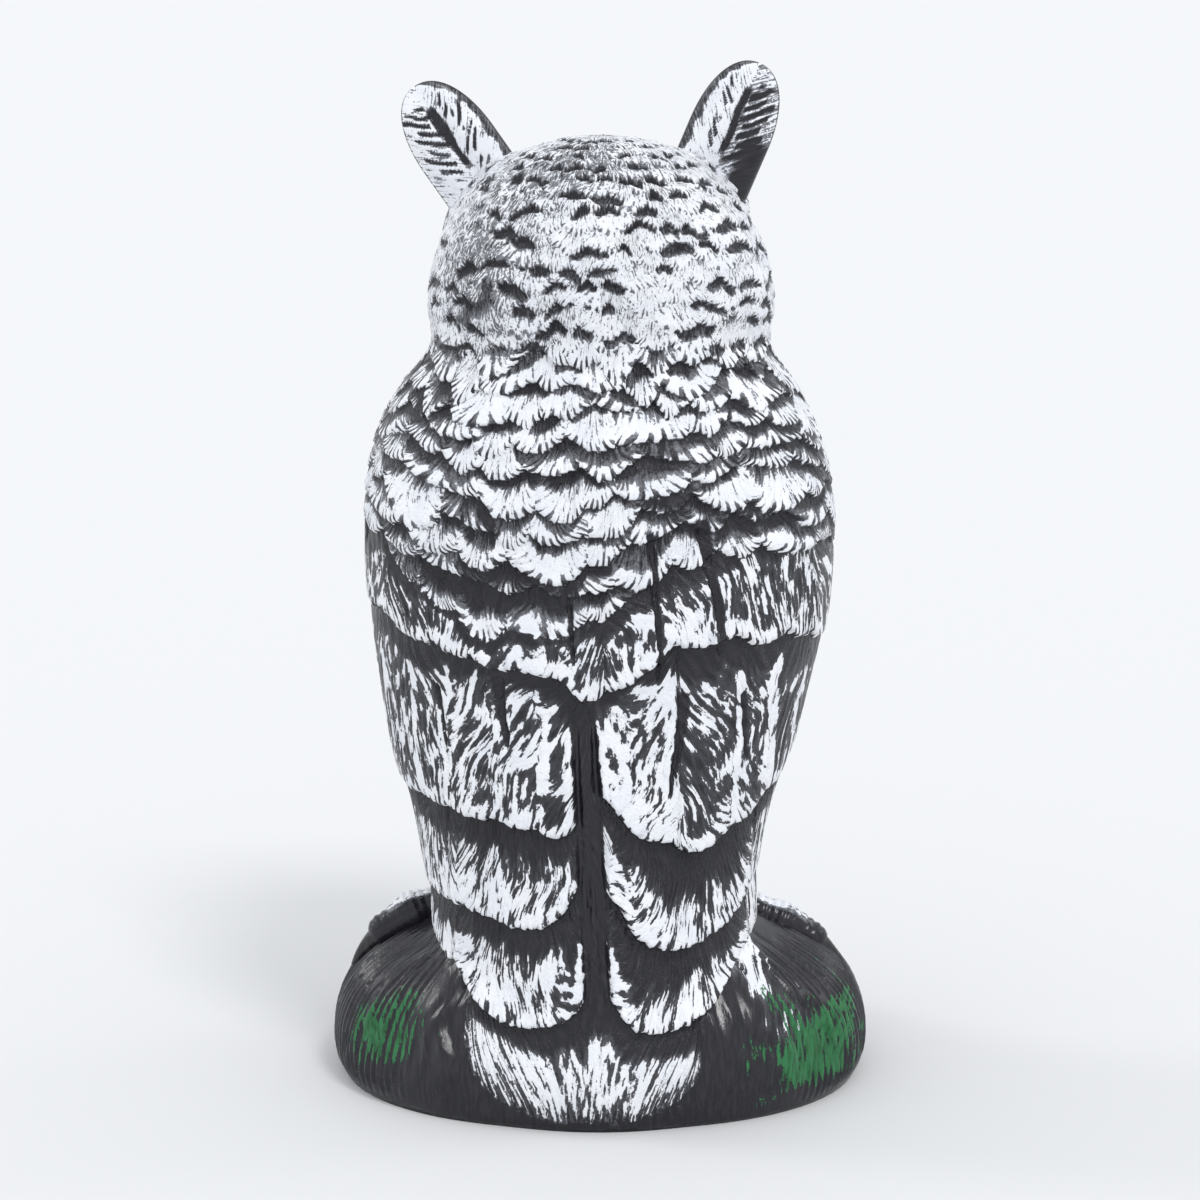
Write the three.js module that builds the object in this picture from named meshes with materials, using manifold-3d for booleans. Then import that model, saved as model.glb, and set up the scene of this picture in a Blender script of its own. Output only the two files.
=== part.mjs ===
import * as THREE from 'three';
import { mergeVertices } from 'three/addons/utils/BufferGeometryUtils.js';
import Module from 'manifold-3d';

const { clamp, degToRad, lerp, smoothstep } = THREE.MathUtils;
const fading = (x, from, to) => 1 - smoothstep(x, from, to);

// Sizes in millimetres. The owl stands on Z = 0 and faces -Y, so its left side is +X.
const birdHeight = 373;
const birdWidth = 186;
const birdDepth = 150;
const moundWidth = 215;
const moundDepth = 172;
const moundHeight = 72;
const tuftLength = 56;
const tuftWidth = 33;
const tuftThickness = 13;
const eyeDiameter = 27;
const beakLength = 30;
const beakWidth = 15;
const beakHook = 9;
const toeWidth = 18;
const toeLength = 36;
const talonLength = 15;
const scallopLift = 2.2;
const hemLift = 5;
const stripWidth = 10;
const foldDepth = 3.5;

// Columns run round the owl from the middle of its back, four to a breast or mantle feather.
const featherCount = 20;
const columnsPerFeather = 4;
const columns = featherCount * columnsPerFeather;

// Outline of the bird: its level as a share of the height, then how far it reaches to the left and
// right as shares of half the width, and to the front and back as shares of half the depth.
const outline = [
  [0.000, 0.69, 0.65, 0.75, 1.12],
  [0.107, 0.70, 0.65, 0.77, 1.09],
  [0.193, 0.72, 0.665, 0.80, 1.05],
  [0.247, 0.76, 0.675, 0.80, 1.03],
  [0.300, 0.81, 0.73, 0.81, 1.01],
  [0.357, 0.88, 0.81, 0.84, 1.01],
  [0.424, 0.93, 0.885, 0.88, 1.01],
  [0.488, 0.965, 0.95, 0.92, 1.02],
  [0.576, 0.99, 0.99, 0.96, 1.03],
  [0.643, 0.985, 0.975, 0.95, 1.00],
  [0.702, 0.925, 0.905, 0.88, 0.92],
  [0.743, 0.83, 0.82, 0.81, 0.83],
  [0.783, 0.71, 0.715, 0.77, 0.74],
  [0.826, 0.715, 0.725, 0.80, 0.75],
];
const skullBase = 0.826 * birdHeight;
const skullRise = birdHeight - skullBase;
const skullArc = 0.281 * birdHeight;

// Places of the carving, as shares of the bird's height.
const eyeAcross = 0.067;
const eyeLevel = 0.868;
const discRadius = 0.085;
const tuftRoot = 0.108;

// Toes, with +1 for the left foot: where each one leaves the leg, as shares of the mound's width
// outwards and of its depth forwards, its heading in degrees outwards from straight ahead, and how
// far its middle lies above the mound's skin as a share of its thickness.
const toes = [
  [1, 0.27, 0.02, 93, 0.14],
  [1, 0.22, 0.30, 34, 0.22],
  [1, 0.20, 0.32, -10, 0.22],
  [-1, 0.27, 0.02, 93, -0.14],
  [-1, 0.22, 0.30, 34, 0.22],
  [-1, 0.20, 0.32, -10, 0.22],
];

// Hems of the long feathers: the angle from the middle of the back in degrees, and the level as a
// share of the height. Each line runs once round the bird.
const hems = {
  mantle: [[-180, 0.51], [-90, 0.48], [-50, 0.50], [-22, 0.495], [-9, 0.47], [2, 0.44],
    [14, 0.465], [35, 0.483], [60, 0.51], [90, 0.52], [180, 0.51]],
  coverts: [[-180, 0.40], [-90, 0.37], [-60, 0.335], [-28, 0.287], [-10, 0.308], [0, 0.345],
    [9, 0.31], [28, 0.313], [55, 0.325], [90, 0.335], [180, 0.40]],
  wings: [[-180, 0.29], [-90, 0.25], [-55, 0.225], [-32, 0.19], [-12, 0.21], [0, 0.26],
    [10, 0.222], [30, 0.211], [60, 0.22], [90, 0.225], [180, 0.29]],
  rump: [[-180, 0.178], [-90, 0.182], [-45, 0.155], [-26, 0.112], [-13, 0.102], [0, 0.125],
    [12, 0.104], [27, 0.112], [50, 0.155], [90, 0.182], [180, 0.178]],
  tail: [[-180, 0.07], [-90, 0.07], [-42, 0.078], [-31, 0.08], [-25, 0.055], [-17, 0.028],
    [-9, 0.016], [2, 0.013], [12, 0.016], [22, 0.036], [30, 0.062], [38, 0.088],
    [48, 0.08], [90, 0.07], [180, 0.07]],
};
const neckLevel = 0.795 * birdHeight;
const headTiers = 7;
const mantleTiers = 8;

/** Value of column k of a table at x, on a smooth curve through the table's rows. */
function along(table, x, k) {
  const last = table.length - 1;
  let i = 0;
  while (i < last - 1 && x > table[i + 1][0]) i += 1;
  const slope = (n) => {
    const below = table[Math.max(n - 1, 0)];
    const above = table[Math.min(n + 1, last)];
    return (above[k] - below[k]) / (above[0] - below[0]);
  };
  const span = table[i + 1][0] - table[i][0];
  const t = clamp((x - table[i][0]) / span, 0, 1);
  const rise = table[i + 1][k] - table[i][k];
  const start = slope(i) * span;
  const end = slope(i + 1) * span;
  return table[i][k] + t * start + t * t * (3 * rise - 2 * start - end)
    + t * t * t * (start + end - 2 * rise);
}

/** Reach of a rounded box of half sizes side and depth along the angle from the back. */
function reach(angle, side, depth, power) {
  const across = Math.abs(Math.sin(angle)) / Math.max(side, 1e-4);
  const inward = Math.abs(Math.cos(angle)) / Math.max(depth, 1e-4);
  return (across ** power + inward ** power) ** (-1 / power);
}

/** Distance from the axis to the bird's skin, without feathers. */
function birdSkin(angle, z) {
  const level = Math.min(z, skullBase) / birdHeight;
  const side = Math.sin(angle) > 0 ? 1 : 2;
  const depth = Math.cos(angle) < 0 ? 3 : 4;
  const above = Math.max(z - skullBase, 0) / skullRise;
  const dome = Math.sqrt(Math.max(1 - above * above, 0));
  const power = depth === 3 ? 2.4 : 2.15;
  return dome * reach(
    angle,
    along(outline, level, side) * birdWidth / 2,
    along(outline, level, depth) * birdDepth / 2,
    power,
  );
}

// The mound is widest a little above the ground, and rounds in above and below that level.
const moundWaist = 0.2 * moundHeight;
const moundPower = 2.2;
const creaseWidth = 9;

/** Distance from the axis to the mound's skin. */
function moundSkin(angle, z) {
  const above = (z - moundWaist) / (moundHeight - moundWaist);
  const below = (moundWaist - z) / (3.2 * moundWaist);
  const t = clamp(Math.max(above, below), 0, 1);
  const size = (1 - t ** moundPower) ** (1 / moundPower);
  return size * reach(angle, moundWidth / 2, moundDepth / 2, moundPower);
}

/** Level of the mound's upper skin over a point of its plan. */
function moundTop(x, y) {
  const inside = Math.abs(2 * x / moundWidth) ** moundPower + Math.abs(2 * y / moundDepth) ** moundPower;
  return moundWaist + (moundHeight - moundWaist) * Math.max(1 - inside, 0) ** (1 / moundPower);
}

/** Greater of two lengths, with the crease between them filled over a width. */
function blendedMax(a, b, width) {
  const h = clamp(0.5 + 0.5 * (a - b) / width, 0, 1);
  return lerp(b, a, h) + width * h * (1 - h);
}

/** Round hill of height 1 over a distance, falling away over a width. */
function hill(distance, width) {
  return Math.exp(-((distance / width) ** 2));
}

/** Carving of the face: two dished discs with raised rims, brows, and a bib under the beak. */
function faceCarving(x, z) {
  const across = Math.abs(x) / birdHeight;
  const up = z / birdHeight;
  const fromEye = Math.hypot(across - eyeAcross, 0.9 * (up - eyeLevel));
  const dish = -6 * hill(fromEye, 0.6 * discRadius);
  const rim = 4 * hill(fromEye - discRadius, 0.28 * discRadius) * smoothstep(across, 0.01, 0.05);
  const brow = 8 * hill(up - 0.905 - 0.5 * across, 0.03) * fading(across, 0.07, 0.14);
  const bridge = 6 * hill(across, 0.026) * hill(up - 0.885, 0.045);
  const bib = 5 * hill(Math.hypot(across, up - 0.76), 0.07);
  return dish + rim + brow + bridge + bib;
}

/** Carving of the front below the head: the breast between the wings, and the feathered legs. */
function frontCarving(angle, z) {
  const fromFront = Math.PI - Math.abs(angle);
  const up = z / birdHeight;
  const wingEdge = lerp(0.62, 1.25, fading(up, 0.22, 0.55));
  const folded = smoothstep(up, 0.20, 0.27) * fading(up, 0.64, 0.72);
  const breast = -4.5 * folded * fading(fromFront, wingEdge - 0.06, wingEdge + 0.06);
  const legs = 14 * hill(fromFront - 0.6, 0.3) * hill(up - 0.2, 0.07);
  const cleft = -4 * hill(fromFront, 0.12) * hill(up - 0.21, 0.07);
  return breast + legs + cleft;
}

/** Carving of the back: the bare strip down the middle between the wings. */
function backCarving(angle, z, x) {
  const up = z / birdHeight;
  const strip = hill(x - 0.012 * birdHeight, 0.55 * stripWidth);
  const stripRun = smoothstep(up, 0.10, 0.13) * fading(up, 0.40, 0.45);
  return Math.abs(angle) < 1 ? -hemLift * strip * stripRun : 0;
}

/** Carving of the mound: a fold left of the tail, and a hollow behind each outer toe. */
function moundCarving(degrees, z) {
  const up = z / moundHeight;
  const fold = hill(degrees - 47, 9) * hill(up - 0.5, 0.3);
  const hollow = hill(Math.abs(degrees) - 72, 10) * hill(up - 0.76, 0.12);
  return -foldDepth * (fold + hollow);
}

/** Place between two scallop tips, from 0 on a tip to 1 in the notch, in bricklaid tiers. */
function notch(column, perFeather, tier) {
  const along01 = (column / perFeather + tier / 2) % 1;
  return Math.abs(2 * along01 - 1) ** 1.6;
}

/** From 0 on the back and sides to 1 on the breast. */
function inFront(angle) {
  return smoothstep(Math.abs(angle), 105, 130);
}

/** How far a hem stands off: full across the back, less on the sides, a plain scallop in front. */
function hemStep(angle) {
  const side = lerp(hemLift, 0.5 * hemLift, smoothstep(Math.abs(angle), 45, 85));
  return lerp(side, scallopLift, inFront(angle));
}

/** Level on the meridian at a distance from the crown along the skull and then straight down. */
function levelFromCrown(distance) {
  if (distance > skullArc) return skullBase - (distance - skullArc);
  return skullBase + skullRise * Math.cos(Math.PI / 2 * distance / skullArc);
}

/** From 0 behind the face to 1 on it. */
function onFaceSide(angle) {
  return smoothstep(Math.abs(angle), 104, 114);
}

// Rows run from the crown to the ground. Each row gives its level on a column at an angle in
// degrees, and how far its feathers stand off the skin there. Feathers fade out on the mound, apart
// from the tail's tuft.

/**
 * Head: short feathers in tiers of two columns each, a lip and the recess under it. They fade out
 * on the crown, and the same rows spread evenly over the face.
 */
function headRows() {
  const rows = [];
  const pitch = 0.0415 * birdHeight;
  for (let tier = 0; tier < headTiers; tier += 1) {
    const grown = clamp((tier + 0.6) / 3, 0, 1);
    const lip = (column, angle) => {
      const scallop = 0.3 * grown * (1 - onFaceSide(angle)) * notch(column, 2, tier);
      return pitch * (1.1 + tier - scallop);
    };
    const recess = (column, angle) => lip(column, angle) + pitch * lerp(0.15, 0.5, onFaceSide(angle));
    rows.push({ level: (c, a) => levelFromCrown(lip(c, a)), lift: () => 0.7 * grown * scallopLift });
    rows.push({ level: (c, a) => levelFromCrown(recess(c, a)), lift: () => -0.2 * grown });
  }
  return rows;
}

/** Level of a hem on a column: the long feathers' line behind, a line of scallops in front. */
function hemLevel(name, column, angle) {
  const scallop = 0.016 * birdHeight * notch(column, columnsPerFeather, mantleTiers - 1);
  return along(hems[name], angle, 1) * birdHeight + scallop * inFront(angle);
}

/** Level of the hem of the tail's tuft. */
function tailLevel(angle) {
  return along(hems.tail, angle, 1) * birdHeight;
}

/** Mantle and breast: broad scallops of four columns each, down to the hem of the mantle. */
function mantleRows() {
  const rows = [];
  const recess = 0.006 * birdHeight;
  for (let tier = 0; tier < mantleTiers - 1; tier += 1) {
    const lip = (column, angle) => {
      const hem = along(hems.mantle, angle, 1) * birdHeight;
      const pitch = (neckLevel - hem) / mantleTiers;
      return neckLevel - pitch * (tier + 1 - 0.42 * notch(column, columnsPerFeather, tier));
    };
    rows.push({ level: lip, lift: () => scallopLift });
    rows.push({ level: (c, a) => lip(c, a) - recess, lift: () => 0 });
  }
  rows.push({ level: (c, a) => hemLevel('mantle', c, a), lift: hemStep });
  return rows;
}

/** Wings and rump: one long tier between two hems at the back, two scallop tiers in front. */
function tierRows(upper, lower) {
  const backShares = [0.04, 0.36, 0.68, 1];
  const frontShares = [0.06, 0.5, 0.56, 1];
  const backLifts = [0, 0.3, 0.75, 1];
  const frontLifts = [0, 1, 0, 1];
  return backShares.map((backShare, step) => ({
    level: (column, angle) => {
      const top = hemLevel(upper, column, angle);
      const bottom = hemLevel(lower, column, angle);
      const tip = step === 1 || step === 2 ? notch(column, columnsPerFeather, mantleTiers) - 0.5 : 0;
      const frontShare = frontShares[step] - 0.15 * tip;
      return lerp(top, bottom, lerp(backShare, frontShare, inFront(angle)));
    },
    lift: (angle) => hemStep(angle) * lerp(backLifts[step], frontLifts[step], inFront(angle)),
  }));
}

/** Mound: the tail's tuft from the hem of the rump to its own hem, then rows down to the ground. */
function moundRows() {
  const tuftLift = (angle) => 0.8 * hemLift * fading(Math.abs(angle - 4), 26, 38);
  const onTuft = [0.06, 0.35, 0.7, 1].map((share) => ({
    level: (column, angle) => lerp(hemLevel('rump', column, angle), tailLevel(angle), share),
    lift: (angle) => share * tuftLift(angle),
    onMound: true,
  }));
  const below = [0.8, 0.5, 0.2, 0].map((share) => ({
    level: (column, angle) => share * tailLevel(angle),
    lift: () => 0,
  }));
  return [...onTuft, ...below];
}

/** Point of a row on a column, carved and lifted off the skin. */
function skinPoint(row, column) {
  const degrees = ((column / columns * 360 + 180) % 360) - 180;
  const angle = degToRad(degrees);
  const z = row.level(column, degrees);
  const up = z / birdHeight;
  const bird = birdSkin(angle, z);
  const mound = moundSkin(angle, z);
  const base = blendedMax(bird, mound, creaseWidth);
  const x = base * Math.sin(angle);
  const onBird = smoothstep(bird - mound, -4, 8);
  const feathered = onBird * (1 - onFaceSide(degrees) * smoothstep(up, 0.73, 0.79));
  const face = onFaceSide(degrees) * smoothstep(up, 0.76, 0.79) * fading(up, 0.94, 0.97);
  const lift = z < 0.01 ? 0 : row.lift(degrees) * (row.onMound ? 1 : feathered)
    + face * faceCarving(x, z)
    + frontCarving(angle, z)
    + backCarving(angle, z, x)
    + (1 - onBird) * moundCarving(degrees, z);
  const polar = Math.PI / 2 * clamp((z - skullBase) / skullRise, 0, 1) ** 1.4;
  const outward = base + lift * Math.cos(polar);
  return new THREE.Vector3(outward * Math.sin(angle), outward * Math.cos(angle), z + lift * Math.sin(polar));
}

/** Closed skin over rings of points from first to last, each end closed on the middle of its ring. */
function skinOver(rings, start, end) {
  const points = [start, ...rings.flat(), end];
  const size = rings[0].length;
  const faces = [];
  for (let i = 0; i < size; i += 1) {
    const next = (i + 1) % size;
    faces.push(0, 1 + next, 1 + i);
    for (let r = 0; r < rings.length - 1; r += 1) {
      const a = 1 + r * size;
      const b = a + size;
      faces.push(a + i, a + next, b + i);
      faces.push(a + next, b + next, b + i);
    }
    const lastRing = 1 + (rings.length - 1) * size;
    faces.push(lastRing + i, lastRing + next, points.length - 1);
  }
  const geometry = new THREE.BufferGeometry().setFromPoints(points);
  geometry.setIndex(faces);
  return geometry;
}

/** Bird and mound in one skin, closed on the crown and flat underneath. */
function bodySkin() {
  const rows = [
    ...headRows(),
    ...mantleRows(),
    ...tierRows('mantle', 'coverts'),
    ...tierRows('coverts', 'wings'),
    ...tierRows('wings', 'rump'),
    ...moundRows(),
  ];
  const rings = rows.map((row) => Array.from({ length: columns }, (unused, c) => skinPoint(row, c)));
  return skinOver(rings, new THREE.Vector3(0, 0, birdHeight), new THREE.Vector3(0, 0, 0));
}

/** Ear tuft: a rounded leaf, grooved down the middle of its rear face and bent back at its tip. */
function earTuft(side, lean, rootLevel) {
  const around = 12;
  const bend = 2.5;
  const rings = [0, 0.15, 0.3, 0.45, 0.6, 0.72, 0.84, 0.95].map((t) => {
    const round = (1 - clamp((t - 0.45) / 0.55, 0, 1) ** 2.2) ** (1 / 2.2);
    const thickness = tuftThickness / 2 * lerp(1.3, 0.8, t) * Math.max(round, 0.35);
    return Array.from({ length: around }, (unused, k) => {
      const turn = k / around * 2 * Math.PI;
      const groove = Math.sin(turn) > 0 ? 0.55 * hill(Math.cos(turn), 0.3) : 0;
      const back = thickness * Math.sin(turn) * (1 - groove) + bend * t * t;
      return new THREE.Vector3(tuftWidth / 2 * round * Math.cos(turn), back, t * tuftLength);
    });
  });
  const leaf = skinOver(rings, new THREE.Vector3(0, 0, -1), new THREE.Vector3(0, bend, tuftLength));
  leaf.rotateY(side * degToRad(lean));
  leaf.translate(side * tuftRoot * birdHeight, -tuftRoot / 2 * birdHeight, rootLevel * birdHeight);
  return leaf;
}

/** Beak: a hooked cone hanging from between the eyes. */
function beak() {
  const top = eyeLevel * birdHeight;
  const front = -birdSkin(Math.PI, top);
  const rings = [0, 0.2, 0.4, 0.6, 0.8].map((t) => {
    const taper = Math.sqrt(1 - t);
    const forward = beakHook * Math.sin(Math.PI * (0.1 + 0.6 * t)) + 0.5 * beakWidth * taper;
    return Array.from({ length: 10 }, (unused, k) => {
      const turn = k / 10 * 2 * Math.PI;
      const out = Math.sin(turn);
      return new THREE.Vector3(
        beakWidth / 2 * taper * Math.cos(turn),
        front + 5 - (out > 0 ? (forward + 5) * out ** 0.8 : 0),
        top - beakLength * t,
      );
    });
  });
  const start = new THREE.Vector3(0, front + 3, top + 3);
  return skinOver(rings, start, new THREE.Vector3(0, front - 0.7 * beakHook, top - beakLength));
}

/** Eye: a ball let into its disc, so that a third of it stands out. */
function eye(side) {
  const ball = new THREE.SphereGeometry(eyeDiameter / 2, 14, 9);
  const x = eyeAcross * birdHeight;
  const z = eyeLevel * birdHeight;
  const angle = Math.PI - Math.asin(x / birdSkin(degToRad(155), z));
  ball.translate(side * x, birdSkin(angle, z) * Math.cos(angle) + 0.36 * eyeDiameter, z);
  return ball;
}

/** Point of the mound's skin at a distance walked over it from a foot in a direction of its plan. */
function walkOver(foot, direction, distance) {
  const step = 0.5;
  let x = foot.x;
  let y = foot.y;
  for (let walked = 0; walked < distance; walked += step) {
    const fall = moundTop(x, y) - moundTop(x + direction.x * step, y + direction.y * step);
    const share = step / Math.hypot(step, fall);
    x += direction.x * step * share;
    y += direction.y * step * share;
  }
  return new THREE.Vector3(x, y, moundTop(x, y));
}

/** Thickness of a toe along its length: two knuckles, a blunt end, and the tapering talon. */
function toeRadius(distance) {
  const t = distance / toeLength;
  if (t > 1) return 0.24 * toeWidth * (1 - 0.8 * (distance - toeLength) / talonLength);
  return toeWidth / 2 * (0.9 + 0.1 * Math.cos(4 * Math.PI * t)) * (1 - 0.45 * t ** 8);
}

/** Toe with its talon, lying over the mound from the foot outwards. */
function toe([side, across, ahead, heading, rise]) {
  const foot = new THREE.Vector3(side * across * moundWidth, -ahead * moundDepth, 0);
  const turnTo = side * degToRad(heading);
  const direction = new THREE.Vector3(Math.sin(turnTo), -Math.cos(turnTo), 0);
  const sideways = new THREE.Vector3(-direction.y, direction.x, 0);
  const onToe = [0, 0.25, 0.5, 0.75, 0.93, 1].map((share) => share * toeLength);
  const onTalon = [0.03, 0.5].map((share) => toeLength + share * talonLength);
  const rings = [...onToe, ...onTalon].map((distance) => {
    const radius = toeRadius(distance);
    const here = walkOver(foot, direction, distance);
    const onward = walkOver(foot, direction, distance + 3).sub(here).normalize();
    const upward = new THREE.Vector3().crossVectors(onward, sideways);
    const centre = here.addScaledVector(upward, 2 * rise * toeRadius(Math.min(distance, toeLength)));
    return Array.from({ length: 7 }, (unused, k) => {
      const turn = k / 7 * 2 * Math.PI;
      return centre.clone().addScaledVector(sideways, radius * Math.cos(turn))
        .addScaledVector(upward, radius * Math.sin(turn));
    });
  });
  const tip = walkOver(foot, direction, toeLength + talonLength);
  return skinOver(rings, walkOver(foot, direction, 0), tip);
}

const wasm = await Module();
wasm.setup();

/** Solid from a closed geometry, its shared corners merged. */
function solid(geometry) {
  const bare = geometry.clone();
  bare.deleteAttribute('normal');
  bare.deleteAttribute('uv');
  const merged = mergeVertices(bare, 1e-4);
  return new wasm.Manifold(new wasm.Mesh({
    numProp: 3,
    vertProperties: new Float32Array(merged.attributes.position.array),
    triVerts: new Uint32Array(merged.index.array),
  }));
}

/** Owl and mound joined into one solid. */
function decoySolid() {
  const pieces = [
    bodySkin(),
    earTuft(1, 35, 0.925),
    earTuft(-1, 23, 0.934),
    beak(),
    eye(1),
    eye(-1),
  ];
  pieces.push(...toes.map(toe));
  const joined = pieces.map(solid).reduce((whole, piece) => whole.add(piece));
  const mesh = joined.getMesh();
  const geometry = new THREE.BufferGeometry();
  geometry.setAttribute('position', new THREE.BufferAttribute(new Float32Array(mesh.vertProperties), 3));
  geometry.setIndex(new THREE.BufferAttribute(new Uint32Array(mesh.triVerts), 1));
  geometry.computeVertexNormals();
  return geometry;
}

const decoy = new THREE.Group();
const plastic = new THREE.MeshStandardMaterial({ color: 0x3c3a3e, roughness: 0.5, metalness: 0 });
const owl = new THREE.Mesh(decoySolid(), plastic);
owl.name = 'owl_decoy';
decoy.add(owl);

export default decoy;
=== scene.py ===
"""Owl decoy: a hollow moulded owl on a ribbed mound, with carved feathers and brushed paint.

Sizes are in millimetres until a mesh is made. The owl stands on Z = 0 and faces -Y. Angles are in
degrees from the middle of its back, growing towards its left side, which is +X.
"""
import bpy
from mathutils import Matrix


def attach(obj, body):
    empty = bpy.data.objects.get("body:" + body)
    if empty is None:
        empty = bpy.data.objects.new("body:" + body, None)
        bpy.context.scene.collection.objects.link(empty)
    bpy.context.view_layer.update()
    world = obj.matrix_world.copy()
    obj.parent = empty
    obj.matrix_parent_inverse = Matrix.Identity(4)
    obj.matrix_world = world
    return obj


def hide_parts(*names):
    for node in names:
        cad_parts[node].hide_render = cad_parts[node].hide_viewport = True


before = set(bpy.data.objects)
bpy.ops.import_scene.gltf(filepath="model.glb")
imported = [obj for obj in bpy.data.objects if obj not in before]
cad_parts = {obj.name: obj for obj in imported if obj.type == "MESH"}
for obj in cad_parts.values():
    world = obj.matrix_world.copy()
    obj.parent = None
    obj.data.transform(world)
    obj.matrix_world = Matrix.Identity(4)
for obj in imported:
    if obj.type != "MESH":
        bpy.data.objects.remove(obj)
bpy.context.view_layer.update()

from types import SimpleNamespace

import bpy
import numpy as np
from mathutils import Vector

MM = 0.001
NODE = "owl_decoy"

# The same driving sizes as the solid's.
BIRD_HEIGHT = 373.0
BIRD_WIDTH = 186.0
BIRD_DEPTH = 150.0
MOUND_WIDTH = 215.0
MOUND_DEPTH = 172.0
MOUND_HEIGHT = 72.0
TUFT_LENGTH = 56.0
TUFT_WIDTH = 33.0
TUFT_THICKNESS = 13.0
EYE_DIAMETER = 27.0
BEAK_LENGTH = 30.0
BEAK_WIDTH = 15.0
BEAK_HOOK = 9.0
TOE_WIDTH = 18.0
TOE_LENGTH = 36.0
TALON_LENGTH = 15.0
SCALLOP_LIFT = 2.2
HEM_LIFT = 5.0
STRIP_WIDTH = 10.0
FOLD_DEPTH = 3.5
CREASE_WIDTH = 9.0

# Outline of the bird: level as a share of the height, then the reach to the left and right as
# shares of half the width, and to the front and back as shares of half the depth.
OUTLINE = np.array([
    [0.000, 0.69, 0.65, 0.75, 1.12],
    [0.107, 0.70, 0.65, 0.77, 1.09],
    [0.193, 0.72, 0.665, 0.80, 1.05],
    [0.247, 0.76, 0.675, 0.80, 1.03],
    [0.300, 0.81, 0.73, 0.81, 1.01],
    [0.357, 0.88, 0.81, 0.84, 1.01],
    [0.424, 0.93, 0.885, 0.88, 1.01],
    [0.488, 0.965, 0.95, 0.92, 1.02],
    [0.576, 0.99, 0.99, 0.96, 1.03],
    [0.643, 0.985, 0.975, 0.95, 1.00],
    [0.702, 0.925, 0.905, 0.88, 0.92],
    [0.743, 0.83, 0.82, 0.81, 0.83],
    [0.783, 0.71, 0.715, 0.77, 0.74],
    [0.826, 0.715, 0.725, 0.80, 0.75],
])
LEFT, RIGHT, FRONT, BACK = 1, 2, 3, 4
SKULL_BASE = 0.826 * BIRD_HEIGHT
SKULL_RISE = BIRD_HEIGHT - SKULL_BASE
SKULL_ARC = 0.281 * BIRD_HEIGHT
NECK_LEVEL = 0.795 * BIRD_HEIGHT
NECK_DOWN = SKULL_ARC + SKULL_BASE - NECK_LEVEL
MOUND_WAIST = 0.2 * MOUND_HEIGHT
MOUND_POWER = 2.2

# Rows of the head: how many, and the distance between every second one.
HEAD_ROWS = 14
HEAD_PITCH = 0.0415 * BIRD_HEIGHT

# Spacing of the fine carving in millimetres, and of the mound's ribs in degrees.
BARB_PITCH = 3.4
HEAD_BARB_PITCH = 1.7
TUFT_BARB_PITCH = 4.3
SCUTE_PITCH = 3.1
RIB_PITCH = 2.1

# Mesh of the body: steps in degrees in front and elsewhere, levels, and triangles once thinned.
WIDE_STEP = 1.2
CLOSE_STEP = 0.5
LEVELS = 410
BODY_TRIANGLES = 196000

# A length so great that a feather or rim moved off by it is nowhere near.
FAR_OFF = 60.0

# Ear tufts, with +1 for the left: lean outwards, and root as a share of the height.
EAR_TUFTS = [(1, 35, 0.925), (-1, 23, 0.934)]

# Places of the face, as shares of the bird's height, and how far out the tufts' roots are.
EYE_ACROSS = 0.067
EYE_LEVEL = 0.868
DISC_RADIUS = 0.085
TUFT_OUT = 0.108 * BIRD_HEIGHT

# Hems of the long feathers: angle, and level as a share of the height.
HEMS = {
    "mantle": [
        [-180, 0.51], [-90, 0.48], [-50, 0.50], [-22, 0.495], [-9, 0.47], [2, 0.44],
        [14, 0.465], [35, 0.483], [60, 0.51], [90, 0.52], [180, 0.51],
    ],
    "coverts": [
        [-180, 0.40], [-90, 0.37], [-60, 0.335], [-28, 0.287], [-10, 0.308], [0, 0.345],
        [9, 0.31], [28, 0.313], [55, 0.325], [90, 0.335], [180, 0.40],
    ],
    "wings": [
        [-180, 0.29], [-90, 0.25], [-55, 0.225], [-34, 0.192], [-19, 0.186], [-10, 0.2],
        [-4, 0.238], [4, 0.27], [9, 0.232], [15, 0.212], [22, 0.207], [32, 0.211], [60, 0.22],
        [90, 0.225], [180, 0.29],
    ],
    "rump": [
        [-180, 0.178], [-90, 0.182], [-45, 0.155], [-26, 0.112], [-14, 0.101], [-8, 0.107],
        [-3, 0.135], [2, 0.15], [6, 0.125], [12, 0.109], [20, 0.104], [29, 0.114], [50, 0.155],
        [90, 0.182], [180, 0.178],
    ],
    "tail": [
        [-180, 0.20], [-60, 0.20], [-33, 0.14], [-27, 0.085], [-24, 0.055], [-17, 0.028],
        [-9, 0.016], [2, 0.013], [12, 0.014], [22, 0.027], [30, 0.050], [35, 0.085],
        [40, 0.14], [60, 0.20], [180, 0.20],
    ],
}

# Angles at which the feathers of a tier meet: of the tail's tuft, the lower lobes and the coverts.
TUFT_EDGES = [-181, -34, 42, 181]
LOBE_EDGES = [-181, -150, -120, -88, -56, 3, 48, 84, 120, 150, 181]
COVERT_EDGES = [
    -181, -160, -140, -122, -105, -88, -70, -54, -38, -22, 3, 16.5, 29.5, 43, 56.5, 70, 84, 100,
    118, 138, 160, 181,
]

# Each covert's most paint, and the tilt of its barbs.
COVERT_PAINT = np.zeros(24)
COVERT_PAINT[4:12] = [-0.3, -0.4, -0.3, -0.3, -0.25, 0.15, -0.7, 0.1]
COVERT_LEAN = 0.25 * np.cos(2.1 * np.arange(24))
COVERT_LEAN[7:12] = [-0.3, -0.4, 0.3, 0.45, 0.35]

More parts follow.
